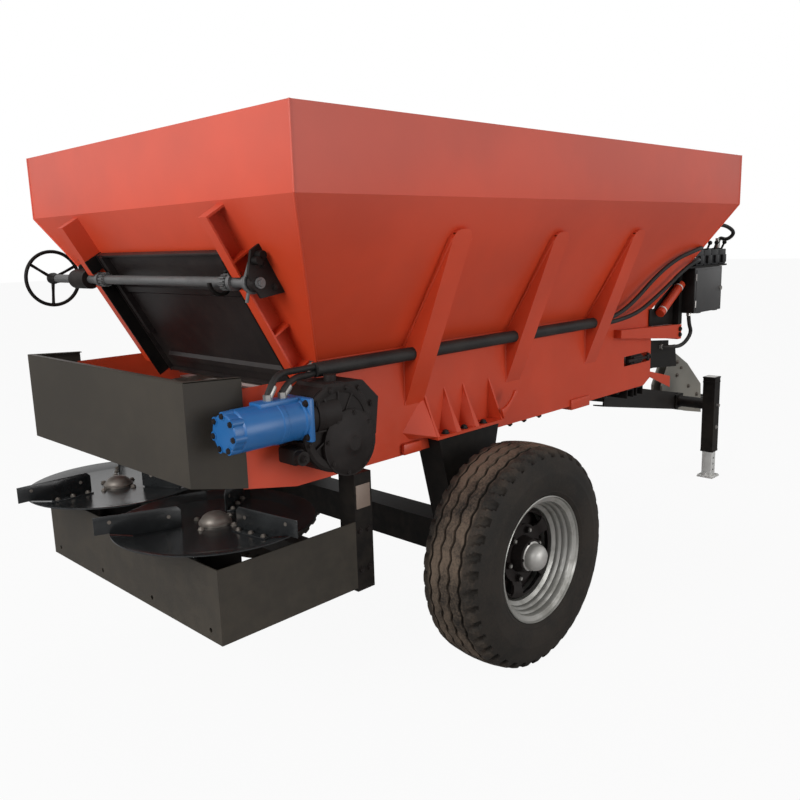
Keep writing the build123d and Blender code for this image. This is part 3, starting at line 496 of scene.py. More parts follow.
def make_rim(name, side):
    inside = [(r - 0.0055, y * 0.97) for r, y in rim_barrel[1:-1]]
    lathe(rim_barrel + inside[::-1], 96)
    bm.transform(Matrix.Diagonal((1.0, NARROWER, 1.0, 1.0)))
    rim_disc()
    for i in range(6):
        around = turned("Y", 60 * i + 12)
        bolt(around @ at(0.082, 0.02, 0) @ LEFT, 0.0125, height=0.012)
    made = keep_on_wheel("pressed_rim", "rim_silver", name, side, "rim")
    # the disc's middle takes the black casting finish: painted shade for the deep middle of the
    # wheel
    made.data.materials.append(finishes["cast_black"])
    for face in made.data.polygons:
        x, y, z = face.center - Vector((AXLE_X, side * WHEEL_Y, WHEEL_Z))
        if math.hypot(x, z) < SHADE_R and abs(y) < SHADE_HALF:
            face.material_index = 1


def make_hub(name, side):
    """A hub: a bright domed cap, a black shell with its bolts, and a black drum behind the disc."""
    cap = mm((0, 109.5), (12, 108.7), (24, 105.8), (34, 100), (41, 91.5), (44.5, 82), (45, 64),
             (50, 62), (50, 58), (0, 58))
    lathe(cap, 64)
    keep_on_wheel("hub_cap", "hub_paint", name, side, "hub", smooth=40)
    shell = mm((0, 60), (54, 60), (56, 58), (60, 30), (61.5, 25), (61.5, 13.5), (30, 13.5),
               (0, 13.5))
    lathe(shell, 64)
    for i in range(5):
        bolt(turned("Y", 72 * i) @ at(0.05, 0.06, 0) @ LEFT, 0.006, washer=False, height=0.003)
    keep_on_wheel("hub_shell", "cast_black", name, side, "hub")
    drum = mm((30, 12), (99, 12), (99, 2), (150, -10), (150, -74), (142, -78), (30, -78))
    lathe(drum, 72)
    keep_on_wheel("hub_drum", "cast_black", name, side)


for wheel in WHEELS:
    make_rim(*wheel)
    make_hub(*wheel)
print("wheels ready")

# %% [markdown]
# Sheet steel is joined with weld beads. A bead is a low ridge where two sheets meet, and without
# it a machine looks glued together. Each one is a thin bar laid along the seam in the body's
# paint, so it only shows as a soft line of light.

# %% Weld beads
def between(start, end, radius, sides=8, top=None):
    """A round bar from one place to another."""
    start, end = Vector(start), Vector(end)
    way = end - start
    turn = way.to_track_quat("Z", "Y").to_matrix().to_4x4()
    disc(radius, 0, way.length, at(*start) @ turn, sides, top)


SILL_Z, FOLD_Z, RIM_Z = 1.077, 1.528, 1.737
SILL = ((-0.621, -0.482), (1.368, -0.482), (1.368, 0.482), (-0.621, 0.482))
FOLD = ((-0.883, -0.75), (1.635, -0.75), (1.635, 0.75), (-0.883, 0.75))


def side_wall(z):
    """The sloped side wall's outer face: its distance from the middle at a height."""
    return 0.482 + 0.268 * (z - SILL_Z) / (FOLD_Z - SILL_Z)


for (sx, sy), (fx, fy) in zip(SILL, FOLD):         # the hopper's corners
    between((sx, sy, SILL_Z), (fx, fy, FOLD_Z), 0.0035)
    between((fx, fy, FOLD_Z), (fx, fy, RIM_Z), 0.003)
for side in SIDES:
    between((-0.621, side * 0.482, SILL_Z), (1.368, side * 0.482, SILL_Z), 0.0035)
    for x, top in ((-0.22, 1.439), (0.314, 1.424), (0.848, 1.424)):
        for edge in (-0.043, 0.043):               # along both edges of each rib
            between((x + edge, side * 0.482, SILL_Z),
                    (x + edge, side * side_wall(top), top - 0.026), 0.0035)
            between((x + edge, side * 0.482, 0.89), (x + edge, side * 0.482, SILL_Z), 0.0035)
welds = keep("weld_beads", "body_paint", smooth=60)
print("weld faces", len(welds.data.polygons))

# %% [markdown]
# The brackets under the chassis carry the axle. Dark bolts hold them to the black stands below,
# three on each side. The front gusset is a plate with a hollow curved edge: an outline with an arc
# in it, pushed to its thickness. The others are wedges, each the hull of a few points.

# %% Axle brackets
def arc(middle_x, middle_z, radius, first, last, steps):
    """Points on part of a circle, in degrees from forward, upwards."""
    angles = [math.radians(first + (last - first) * i / steps) for i in range(steps + 1)]
    return [(middle_x + radius * math.cos(a), middle_z + radius * math.sin(a)) for a in angles]


for side in SIDES:
    for x in (-0.118, -0.022, 0.082):
        bolt(at(x, side * 0.526, 0.775), 0.0125)
        bolt(at(x, side * 0.52, 0.765) @ DOWN, 0.0125)
keep("bracket_bolts", "cast_black")


def wedge(points):
    bmesh.ops.convex_hull(bm, input=[bm.verts.new(point) for point in points])


outline = mm((178, 775), (262, 862), (252, 868)) + arc(0.15, 0.915, 0.105, -28, -82, 6)
foot = 0.7752              # just above the bracket's foot plate
for side in SIDES:
    plate(outline, 0.01, 0.002, at(0, -0.546 if side < 0 else 0.536, 0))
    wall, lip = side * 0.4822, side * 0.545
    for x, half, top in ((-0.172, 0.016, 0.905), (-0.07, 0.03, 0.915), (0.028, 0.026, 0.915)):
        wedge([(x - half, wall, foot), (x + half, wall, foot), (x + 0.4 * half, lip, foot),
               (x - 0.4 * half, lip, foot), (x, wall, top)])
    wedge([(-0.278, wall, 0.8), (-0.205, wall, 0.88), (-0.174, lip, foot), (-0.174, wall, foot),
           (-0.174, wall, 0.9), (-0.25, wall, foot)])
keep("bracket_gussets", "body_paint")
print("brackets ready")

# %% [markdown]
# The floor chain is tightened at the front: a long bolt pulls the bearing forward in its slot.
# The bolt, its lug and two nuts are what show in the slot of the side sheet.

# %% Chain tighteners and small chassis pieces
for side in SIDES:
    y = side * 0.4885
    between((1.15, y, 0.856), (1.35, y, 0.856), 0.0065, 12)
    box((1.326, y - 0.0062, 0.838), (1.338, y + 0.0062, 0.874), 0.0015)
    for x in (1.314, 1.339):
        disc(0.0115, 0, 0.009, at(x, y, 0.856) @ FORWARD, 6)
    box((1.205, min(y, side * 0.483), 0.842), (1.285, max(y, side * 0.483), 0.87), 0.002)
keep("chain_tighteners", "cast_black")

# the blocks, lugs, bolts and pipes that show under the side sheets and beside them
for side in SIDES:
    for near, far, x0, x1, z0, z1, bevel in ((0.44, 0.4835, 0.699, 0.836, 0.711, 0.7255, 0.002),
                                             (0.4822, 0.4902, 0.699, 0.836, 0.711, 0.753, 0.002),
                                             (0.4822, 0.5, -0.29, -0.205, 0.728, 0.766, 0.007)):
        low, high = sorted((side * near, side * far))
        box((x0, low, z0), (x1, high, z1), bevel)
keep("frame_blocks", "body_paint")
for side in SIDES:
    for x in (0.33, 0.42, 0.52, 1.01, 1.12):
        bolt(at(x, side * 0.455, 0.726) @ DOWN, 0.011, height=0.012)
    between((0.3, side * 0.405, 0.742), (0.62, side * 0.405, 0.742), 0.011, 16)
keep("frame_bolts", "cast_black")
print("frame details ready")

# %% [markdown]
# The floor is a conveyor: two roller chains carry steel slats round and round and pull the load
# to the rear. The solid model has them as plain bands. Here each chain gets its links: two side
# plates and a roller with its pin, set one after another along the oval path.

# %% Conveyor chains
REAR_X, FRONT_X, SHAFT_Z, CHAIN_R = -0.617, 1.245, 0.856, 0.085
RUN = FRONT_X - REAR_X
LOOP = 2 * (RUN + math.pi * CHAIN_R)
LINKS, SLATS = 84, 14


def on_loop(distance):
    """A place on the chain's path: x, z and the angle it faces outward, in degrees."""
    below, along = divmod(distance % LOOP, LOOP / 2)   # the lower half is the upper, turned over
    angle = 90.0 - math.degrees(max(along - RUN, 0.0) / CHAIN_R)
    ahead = min(along, RUN) - RUN / 2 + CHAIN_R * math.cos(math.radians(angle))
    above = CHAIN_R * math.sin(math.radians(angle))
    flip = -1 if below else 1
    return (REAR_X + FRONT_X) / 2 + flip * ahead, SHAFT_Z + flip * above, angle - 180.0 * below


def chain_side(y):
    pitch = LOOP / LINKS
    for i in range(LINKS):
        x, z, angle = on_loop(i * pitch)
        place = at(x, y, z) @ turned("Y", -angle)
        disc(0.0075, -0.0095, 0.0095, place @ LEFT, 12)
        disc(0.0035, -0.0125, 0.0125, place @ LEFT, 8)
        x2, z2, _ = on_loop((i + 1) * pitch)
        start, end = Vector((x, y, z)), Vector((x2, y, z2))
        way = end - start
        link = at(*((start + end) / 2)) @ turned("Y", -math.degrees(math.atan2(way.z, way.x)))
        offset = 0.0078 if i % 2 else 0.0102       # inner and outer plates take turns
        half = way.length / 2 + 0.0075
        for side in SIDES:
            y0, y1 = side * offset - 0.0011, side * offset + 0.0011
            box((-half, y0, -0.0078), (half, y1, 0.0078), 0, link)


for y in (-0.32, 0.32):
    chain_side(y)
keep("roller_chains", "chain_steel", replaces=["conveyor_chains"], smooth=40)

# each slat is a channel bolted to the chains
SLAT_TOP = 0.009 + 0.018 + 0.0003  # above the path: half the band, the slat's height and a hair
for i in range(SLATS):
    x, z, angle = on_loop((i + 0.35) * LOOP / SLATS)
    out = Vector((math.cos(math.radians(angle)), 0.0, math.sin(math.radians(angle))))
    for y in (-0.332, -0.308, 0.308, 0.332):
        middle = Vector((x, y, z)) + out * SLAT_TOP
        bolt(at(*middle) @ turned("Y", 90.0 - angle), 0.0075, washer=False)
keep("slat_bolts", "chain_steel")
print("links", LINKS, "pitch", round(LOOP / LINKS * 1000, 1), "mm")

# %% [markdown]
# The drive motor is a long blue cylinder: a turned barrel, a flange toward the gearbox and a cap
# with seven round pads standing proud, each with its dark bolt.

# %% Hydraulic motor
MOTOR_Y, MOTOR_Z = -0.568, 0.947

place = at(-1.005, MOTOR_Y, MOTOR_Z) @ turned("Z", -90)      # the lathe's y turned to +x
barrel = mm((0, 1.5), (48, 1.5), (50.5, 4), (51.5, 10), (51.5, 30), (56, 33), (57, 36), (57, 150),
            (58.5, 152), (58.5, 166), (57, 168), (57, 222), (60, 226), (60, 234), (0, 234))
lathe(barrel, 64, place)
pads = [place @ turned("Y", 360 / 7 * i + 12) @ at(0.0455, 0, 0) for i in range(7)]
for pad in pads:
    disc(0.0118, 0, 0.034, pad @ LEFT, 24)
box((-0.773, MOTOR_Y - 0.0605, MOTOR_Z - 0.0605),
    (-0.7545, MOTOR_Y + 0.0605, MOTOR_Z + 0.0605), 0.006)
box((-0.905, MOTOR_Y - 0.026, MOTOR_Z + 0.045), (-0.78, MOTOR_Y + 0.026, MOTOR_Z + 0.063), 0.004)
keep("drive_motor", "motor_blue", replaces=["hydraulic_motor"])
for pad in pads:
    bolt(pad @ RIGHT, 0.0085, washer=False, height=0.004)
for dy in (-0.046, 0.046):
    for dz in (-0.046, 0.046):
        bolt(at(-0.773, MOTOR_Y + dy, MOTOR_Z + dz) @ BACKWARD, 0.009)
keep("motor_bolts", "cast_black")
print("motor ready")

# %% [markdown]
# The hoses end in bright crimped sleeves on the motor, the valve, the box and the front plate.

# %% Hose ends
for x, ahead in ((-0.862, (-0.812, -0.552, 1.0695)), (-0.814, (-0.764, -0.552, 1.0505))):
    foot = Vector((x, MOTOR_Y, 1.0155))
    way = (Vector(ahead) - foot).normalized()
    disc(0.0125, -0.012, 0.01, at(*foot), 6)
    between(foot + way * 0.002, foot + way * 0.036, 0.0115, 20)
    between(foot + way * 0.036, foot + way * 0.04, 0.0115, 20, top=0.0095)
for z, ahead in ((1.306, (1.54, -0.668, 1.34)), (1.278, (1.55, -0.65, 1.3))):
    foot = Vector((1.6325, -0.525, z))
    way = (Vector(ahead) - foot).normalized()
    disc(0.012, 0, 0.009, at(*foot) @ BACKWARD, 6)
    between(foot + way * 0.004, foot + way * 0.05, 0.0112, 20)
for x in (1.74, 1.93):
    disc(0.0125, 1.3312, 1.342, at(x, -0.53, 0), 6)
    disc(0.0112, 1.342, 1.378, at(x, -0.53, 0), 20)
disc(0.0125, 1.02, 1.0345, at(1.6335, -0.534, 0), 6)
disc(0.0125, 0, 0.012, at(1.47, -0.477, 0.886) @ RIGHT, 6)
print("faces on the hose ends", len(keep("hose_ends", "bright_steel", smooth=40).data.polygons))

# %% [markdown]
# The gearbox is a black casting: a round case, a lower cover over the floor's drive shaft and a
# boxed upper corner. Rings of bolts hold the covers and webs stiffen them. Both are set on the
# solid model's casting, which stays as it is.

# %% Gearbox details
CASE = at(-0.652, -0.598, 0.905)           # the middle of the round case's face
COVER = at(-0.617, -0.612, 0.856)          # and of the lower cover's

ring = mm((100, 0), (100, -8.5), (108, -11), (118, -11), (126, -6), (126, 0))
lathe(ring, 72, CASE)
cover = mm((0, 0), (0, -20), (20, -20), (26, -14), (40, -9), (74, -7), (84, -4), (92, 0))
lathe(cover, 64, COVER)
for turn in (60, 90, 120, 150, 180, 210):
    box((0.03, -0.01, -0.003), (0.104, 0.001, 0.003), 0.001, CASE @ turned("Y", -turn))
box((-0.806, -0.596, 0.822), (-0.744, -0.52, 0.868), 0.008)
disc(0.02, 0, 0.018, at(-0.79, -0.596, 0.845) @ RIGHT, 24)
disc(0.018, 0, 0.02, at(-0.64, -0.56, 1.029), 24)
between((-0.735, -0.568, 0.947), (-0.7, -0.568, 0.947), 0.058, 40, top=0.052)
keep("gearbox_webs", "cast_black")
for i in range(8):
    bolt(COVER @ turned("Y", 45 * i + 10) @ at(0.084, 0, 0) @ RIGHT, 0.0078)
for turn in (75, 105, 135, 165, 195):
    bolt(CASE @ turned("Y", -turn) @ at(0.113, -0.01, 0) @ RIGHT, 0.0085)
for x, z in ((-0.528, 0.955), (-0.53, 0.88), (-0.575, 1.005), (-0.68, 1.012)):
    bolt(at(x, -0.604, z) @ RIGHT, 0.0095)
bolt(at(-0.79, -0.614, 0.845) @ RIGHT, 0.011, height=0.012)
keep("gearbox_bolts", "cast_black")
print("gearbox ready")

# %% [markdown]
# Most of the gate's gear is round bar and flat plate. A shaft across the rear wall lifts the
# gate by two pinions, and a handwheel turns it. All of it is made in the wall's own frame: x up
# the slope, y to the left, z outward.

# %% Gate gear
UP_X, UP_Z = -0.5023205, 0.8646815         # the way up the slope
REAR_WALL = Matrix(((UP_X, 0, -UP_Z, -0.621), (0, 1, 0, 0), (UP_Z, 0, UP_X, 1.077), (0, 0, 0, 1)))
SHAFT_UP, SHAFT_OUT = 0.305, 0.056         # the cross shaft's middle line


def across(radius, y0, y1, sides=32):
    """A round bar along the gate's cross shaft."""
    between((SHAFT_UP, y0, SHAFT_OUT), (SHAFT_UP, y1, SHAFT_OUT), radius, sides)


def keep_on_wall(*words, **more):
    bm.transform(REAR_WALL)
    keep(*words, **more)


rim = [(0.098 + 0.0065 * math.cos(a), 0.0075 * math.sin(a))
       for a in (TURN * i / 12 for i in range(12))]
place = at(SHAFT_UP, 0.786, SHAFT_OUT)
lathe(rim, 72, place)
hub = mm((0, 11), (17, 11), (20, 8), (21, -10), (17, -20), (16.5, -44), (0, -44))
lathe(hub, 40, place)
for i in range(3):
    spoke = place @ turned("Y", 120 * i + 335)
    for start, end, first, last in ((0.014, 0.055, 0.0065, 0.005), (0.055, 0.094, 0.005, 0.0058)):
        between(spoke @ Vector((start, 0, 0)), spoke @ Vector((end, 0, 0)), first, 12, top=last)
keep_on_wall("spoked_wheel", "frame_black", "handwheel_shaft", ["handwheel"], smooth=50)

across(0.0149, -0.516, 0.78, 40)
TEETH = 14
for side in SIDES:
    across(0.0185, side * 0.348, side * 0.372, 32)
    for i in range(TEETH):
        tooth = at(SHAFT_UP, side * 0.36, SHAFT_OUT) @ turned("Y", 360 / TEETH * i)
        box((0.016, -0.0115, -0.0022), (0.0238, 0.0115, 0.0022), 0, tooth)
    across(0.024, side * 0.384, side * 0.398, 32)
across(0.021, -0.472, -0.452, 32)
disc(0.01, 0, 0.006, at(SHAFT_UP, -0.516, SHAFT_OUT) @ RIGHT, 6)
keep_on_wall("cross_shaft", "shaft_steel", "handwheel_shaft", ["gate_cross_shaft"])
print("teeth on each pinion", TEETH)

# %% [markdown]
# A hook lies over the shaft and a forked pawl sits by the right post. Both bearings have their
# bolts, and the gate's sheet is folded over along its foot and top.

# %% Gate locks and edges
plate_y = -0.5105              # the outer face of the right bearing's plate
hook = arc(SHAFT_UP, SHAFT_OUT, 0.04, 60, 300, 12) + arc(SHAFT_UP, SHAFT_OUT, 0.03, 300, 60, 12)
plate(hook, 0.012, 0.0015, at(0, -0.33, 0))
for up, out in ((0.368, 0.02), (0.362, 0.038)):
    disc(0.0115, 0, 0.024, at(up, plate_y, out) @ RIGHT, 20)
keep_on_wall("shaft_hook", "frame_black", smooth=40)
fork = arc(SHAFT_UP, SHAFT_OUT, 0.031, 20, 250, 12) + arc(SHAFT_UP, SHAFT_OUT, 0.022, 250, 20, 12)
plate(fork, 0.01, 0.002, at(0, -0.482, 0))
shaft = Vector((SHAFT_UP, 0, SHAFT_OUT))
for start, end, radius in (((0.026, -0.478, 0.008), (0.06, -0.498, -0.016), 0.0055),
                           ((-0.014, -0.478, 0.026), (-0.036, -0.47, 0.04), 0.005)):
    between(shaft + Vector(start), shaft + Vector(end), radius, 12)
keep_on_wall("pawl", "shaft_steel", smooth=40)
for up, out in ((0.27, 0.02), (0.34, 0.02)):
    bolt(at(up, plate_y, out) @ RIGHT, 0.009)
for y in (0.494, 0.556):
    bolt(at(SHAFT_UP + 0.03, y, 0.028) @ FORWARD, 0.01)
box((SHAFT_UP + 0.018, 0.47, 0), (SHAFT_UP + 0.07, 0.58, 0.008), 0.001)
for y in (0.484, 0.566):
    bolt(at(SHAFT_UP + 0.054, y, 0.008), 0.01)
keep_on_wall("gate_bolts", "cast_black")

for low, high in ((-0.1087, -0.1007), (0.3702, 0.3782)):
    box((low, -0.394, 0.006), (high, 0.394, 0.024), 0.0015)
keep_on_wall("gate_edges", "gate_paint", "gate")
print("gate gear ready")

# %% [markdown]
# The spinner discs are dished steel plates painted black and worn smooth, so seen at a low
# angle they shine almost like mirrors. Each carries three upright blades bolted through a
# folded foot, and a domed steel cover in the middle.

# %% Spinner discs
DISC_X, DISC_Y, DISC_Z = -0.88, 0.298, 0.619
VANE_IN, VANE_OUT, VANE_H = 0.095, 0.332, 0.068


def blade(place, hand):
    outline = [(VANE_IN, 0.003), (VANE_IN, VANE_H - 0.012), (VANE_IN + 0.012, VANE_H),
               (VANE_OUT, VANE_H), (VANE_OUT, 0.0175), (0.292, 0.0175), (0.234, 0.003)]
    plate(outline, 0.004, 0.0008, place @ at(0, -0.002, 0))
    low, high = sorted((hand * 0.002, hand * 0.026))
    box((VANE_IN + 0.004, low, 0), (0.23, high, 0.004), 0.0008, place)


def make_disc(name, side, first_turn):
    lift = at(DISC_X, side * DISC_Y, DISC_Z)
    blades = [lift @ turned("Z", first_turn + 120 * i) for i in range(3)]
    dish = mm(
        (30, 0), (228, 0), (236, 1), (289.5, 13.5), (292, 13), (292, 9.5), (289.5, 9), (236, -4),
        (228, -5), (48, -5), (46, -13), (34, -15), (34, -40), (20.6, -40), (20.6, -12), (30, -10))
    lathe(dish, 128, lift @ turned("X", 90))
    for place in blades:
        blade(place, side)
    keep(f"dished_disc_{name}", "disc_steel", f"spinner_{name}", [f"spinner_disc_{name}"],
         smooth=25)
    dome = mm((0, 34), (12, 33), (24, 29.5), (34, 23), (41, 14), (44, 8), (48, 6), (48, 0), (0, 0))
    lathe(dome, 64, lift @ turned("X", 90))
    for place in blades:
        for reach in (0.115, 0.165, 0.215):
            bolt(place @ at(reach, side * 0.015, 0.004), 0.0075)
        for reach, high in ((0.13, 0.04), (0.29, 0.05)):
            disc(0.0055, -0.0035, 0.0035, place @ at(reach, 0, high) @ LEFT, 12)
    for i in range(4):
        bolt(lift @ turned("Z", 90 * i + 20) @ at(0.066, 0, 0), 0.0085)
    keep(f"disc_hub_{name}", "chain_steel", f"spinner_{name}", smooth=40)


make_disc("right", -1, 158.0)
make_disc("left", 1, 180.0)
print("discs ready")

# %% [markdown]
# The hood and the guard are plain folded sheets. Small things give them their scale: a folded
# lip along the hood's top, the bolts of the guard's hangers, and a black angle along the guard's
# foot a finger's width behind its holes, whose black is painted shade that keeps the holes dark.
# One dull plate on a hanger stays blank.

# %% Hood and guard details
for side in SIDES:
    low, high = sorted((side * 0.486, side * 0.468))
    outline = mm((-1058, 1074.5), (-884, 1064.5), (-884, 1067.5), (-1058, 1077.5))
    plate(outline, high - low, 0, at(0, low, 0))
box((-1.06, -0.484, 1.0735), (-1.042, 0.484, 1.0768), 0.0008)
keep("hood_lips", "guard_paint")
for side in SIDES:
    for z in (0.42, 0.545):
        for x in (-0.52, -0.486):
            bolt(at(x, side * 0.5262, z) @ OUTWARD[side], 0.0095)
keep("sheet_bolts", "cast_black")
# a black angle just behind the guard's holes: painted shade, so the holes show dark
box((-1.006, -0.515, 0.372), (-1.002, 0.515, 0.418), 0)
box((-1.024, -0.515, 0.3685), (-1.002, 0.515, 0.3725), 0)
keep("hole_shade_angle", "frame_black")
box((-0.53, -0.5285, 0.616), (-0.474, -0.5255, 0.69), 0.0008)
keep("blank_plate", "dull_plate", slot="head_grey")
print("hood ready")

# %% [markdown]
# The control box is a folded grey cabinet: a door with a rounded edge standing a little proud,
# two hinges, two feet and a round lock.

# %% Control box
box((1.597, -0.578, 1.035), (1.885, -0.49, 1.245), 0.0025)
box((1.606, -0.5815, 1.044), (1.876, -0.5765, 1.236), 0.002)
for x in (1.65, 1.83):
    box((x - 0.018, -0.578, 1.0325), (x + 0.018, -0.5, 1.0352), 0.0008)
keep("cabinet", "box_grey", replaces=["control_box"])
disc(0.011, 0, 0.006, at(1.862, -0.5815, 1.14) @ RIGHT, 24)
disc(0.005, 0.006, 0.008, at(1.862, -0.5815, 1.14) @ RIGHT, 16)
for z in (1.078, 1.202):
    between((1.6025, -0.5795, z - 0.016), (1.6025, -0.5795, z + 0.016), 0.0035, 12)
keep("cabinet_lock", "bright_steel")
print("box ready")

# %% [markdown]
# The valve block is a bank of spools: four cast sections side by side on two tie rods, each with
# a cap, a lever and its ball. The levers are bars leaning a little outward.

# %% Valve bank
for i in range(4):
    x0 = 1.634 + 0.082 * i
    box((x0, -0.562, 1.2535), (x0 + 0.078, -0.4915, 1.326), 0.003)
    disc(0.019, 0, 0.005, at(x0 + 0.039, -0.527, 1.326), 28)
    box((x0 + 0.02, -0.5745, 1.262), (x0 + 0.058, -0.561, 1.3), 0.003)
for y in (-0.548, -0.504):
    between((1.6325, y, 1.318), (1.9625, y, 1.318), 0.005, 12)
keep("valve_bank", "valve_cast", replaces=["control_valve"])
for i, lean in enumerate((-0.006, 0.004, -0.004, 0.006)):
    x = 1.68 + 0.08 * i
    foot, tip = Vector((x, -0.552, 1.322)), Vector((x + lean, -0.566, 1.358))
    between(foot, tip, 0.005, 12)
    bmesh.ops.create_uvsphere(bm, u_segments=20, v_segments=12, radius=0.0105, matrix=at(*tip))
    disc(0.01, 0, 0.012, at(x, -0.552, 1.318), 16, top=0.006)
keep("valve_levers", "frame_black", smooth=50)
print("valve ready")

# %% [markdown]
# The stand gets its bolts, a black sheet cut to the slope of the hopper's front wall as painted
# shade for the dark gap under that wall, and a painted tie bar with two pale bands.

# %% Stand
for x in (1.66, 1.76, 1.86):
    for z in (1.1, 1.2):
        bolt(at(x, -0.4817, z) @ LEFT, 0.01)
for z in (0.935, 0.962):
    for side in SIDES:
        bolt(at(1.578, side * 0.518, z) @ OUTWARD[side], 0.0105)
keep("stand_bolts", "cast_black")

# a black sheet in the gap under the hopper's front wall: painted shade for that gap
outline = mm((1335, 994.5), (1600, 982.5), (1600, 1245), (1486, 1245), (1380, 1072), (1335, 1072))
plate(outline, 0.004, 0.0008, at(0, -0.4895, 0))
box((1.5915, -0.576, 1.037), (1.5965, -0.49, 1.243), 0.0008)
keep("gap_shade_sheet", "frame_black")
start, way = Vector((1.388, -0.512, 1.05)), Vector((0.2, 0.0, 0.122))
between(start, start + way, 0.0205, 24)
keep("tie_bar", "body_paint")
for share in (0.1, 0.86):
    between(start + way * share, start + way * (share + 0.03), 0.0215, 24)
keep("tie_ends", "pale_zinc", slot="bright_steel")
print("stand ready")

# %% [markdown]
# The parking jack is a square tube with a slightly wider cap, bare bright steel on top as rubbed
# wear and a painted highlight, a crank boss near its head and a pin through its pivot. The leg
# inside is pale, with a row of thin black discs painted as the shade of its holes, and a foot
# plate with a low rim and two small webs.

# %% Jack
JACK_X, JACK_Y = 2.44, -0.308


def block(half, low, high, bevel=0.0):
    """A square block about the jack's upright middle line."""
    box((JACK_X - half, JACK_Y - half, low), (JACK_X + half, JACK_Y + half, high), bevel)


block(0.038, 0.586, 0.5945, 0.003)
for z in (0.565, 0.16):
    block(0.0365, z - 0.006, z + 0.006, 0.002)
disc(0.012, 0, 0.01, at(JACK_X + 0.0345, JACK_Y, 0.54) @ FORWARD, 24)
keep("jack_bands", "frame_black", "jack")
# bright steel over the cap's top: rubbed wear and a painted highlight
block(0.03, 0.5943, 0.5949)
disc(0.009, 0, 0.016, at(JACK_X, JACK_Y - 0.0348, 0.43) @ RIGHT, 20)
bolt(at(JACK_X, JACK_Y - 0.035, 0.3) @ RIGHT, 0.01)
keep("jack_pins", "bright_steel", "jack")
# thin black discs on the leg: painted shade standing in for its holes
for i in range(3):
    disc(0.0055, 0, 0.0004, at(JACK_X, JACK_Y - 0.0285, 0.045 + 0.035 * i) @ RIGHT, 16)
keep("hole_shade_discs", "cast_black", "jack_leg")
block(0.0283, 0.004, 0.4085, 0.003)
block(0.0473, 0, 0.008, 0.0025)
for bx, by in ((1, 0), (-1, 0), (0, 1), (0, -1)):
    start, end = ((JACK_X + 0.0445 * bx + along * by, JACK_Y + 0.0445 * by + along * bx, 0.0105)
                  for along in (-0.04, 0.04))
    between(start, end, 0.0028, 10)
keep("zinc_leg", "pale_zinc", "jack_leg", ["jack_leg"], slot="bright_steel")
outline = mm((-40, 8), (-28.5, 24), (-28.5, 8))
for flip in (1, -1):
    plate(outline, 0.008, 0, at(JACK_X, JACK_Y - 0.004, 0) @ Matrix.Diagonal((flip, 1, 1, 1)))
keep("foot_webs", "pale_zinc", "jack_leg", slot="bright_steel")
print("jack ready")

# %% [markdown]
# The drawbar's two beams meet in a head of light grey plates with the hitch eye between them.
# The plates get their bolts, a cross pin, rounded beads along their upper edges and a weld bead
# on either side of the eye's shank.

# %% Drawbar head
for side in SIDES:
    for x, z in ((2.56, 0.64), (2.56, 0.56), (2.72, 0.47), (2.72, 0.38), (2.84, 0.4), (2.84, 0.32)):
        bolt(at(x, side * 0.036, z) @ OUTWARD[side], 0.012)
between((2.61, -0.046, 0.6), (2.61, 0.046, 0.6), 0.009, 16)
keep("head_bolts", "chain_steel")
for side in SIDES:
    between((2.8, side * 0.024, 0.3705), (2.905, side * 0.024, 0.3705), 0.004)
    for (x0, z0), (x1, z1) in (((2.507, 0.708), (2.7, 0.611)), ((2.7, 0.611), (2.898, 0.456))):
        between((x0, side * 0.03, z0), (x1, side * 0.03, z1), 0.0062)
keep("head_edges", "head_grey")
print("head ready")

# %% [markdown]
# The hydraulic hoses are rubber tubes pulled into soft bends between fixed ends, so each is one
# smooth spline led by the points where it turns. Two feed the motor from the pipe along the
# ribs, two run from that pipe up to the valve, one goes from the box down to the front plate and
# one joins the valve's outer ports.

# %% Hoses
HOSE_R = 0.009
PAIR = HOSE_R + 0.0005         # two hoses lie one above the other in the pipe, a hair apart
PIPE_Y, PIPE_REAR, PIPE_FRONT = -0.519, -0.663, 0.9113
UPPER, LOWER = 1.06 + PAIR, 1.06 - PAIR
hose_points = [
    [(-0.862, -0.568, 1.0225), (-0.8515, -0.5646, 1.04), (-0.812, -0.552, UPPER + 0.004),
     (-0.74, -0.528, UPPER), (PIPE_REAR, PIPE_Y, UPPER)],
    [(-0.814, -0.568, 1.0242), (-0.802, -0.5642, 1.036), (-0.764, -0.552, LOWER + 0.002),
     (-0.715, -0.528, LOWER), (PIPE_REAR, PIPE_Y, LOWER)],
    [(PIPE_FRONT, PIPE_Y, UPPER), (1.035, PIPE_Y, UPPER), (1.215, -0.628, 1.285),
     (1.47, -0.668, 1.345), (1.575, -0.6, 1.33), (1.6238, -0.525, 1.306)],
    [(PIPE_FRONT, PIPE_Y, LOWER), (1.12, PIPE_Y, LOWER + 0.002), (1.3, -0.56, 1.15),
     (1.4, -0.636, 1.27), (1.54, -0.64, 1.292), (1.6238, -0.525, 1.278)],
    [(1.632, -0.534, 1.0304), (1.636, -0.534, 0.985), (1.672, -0.534, 0.935), (1.61, -0.52, 0.878),
     (1.48, -0.52, 0.886), (1.47, -0.4773, 0.886)],
    [(1.74, -0.53, 1.3316), (1.74, -0.53, 1.385), (1.765, -0.512, 1.432), (1.87, -0.575, 1.448),
     (1.945, -0.612, 1.405), (1.938, -0.572, 1.366), (1.93, -0.53, 1.385), (1.93, -0.53, 1.3316)],
]


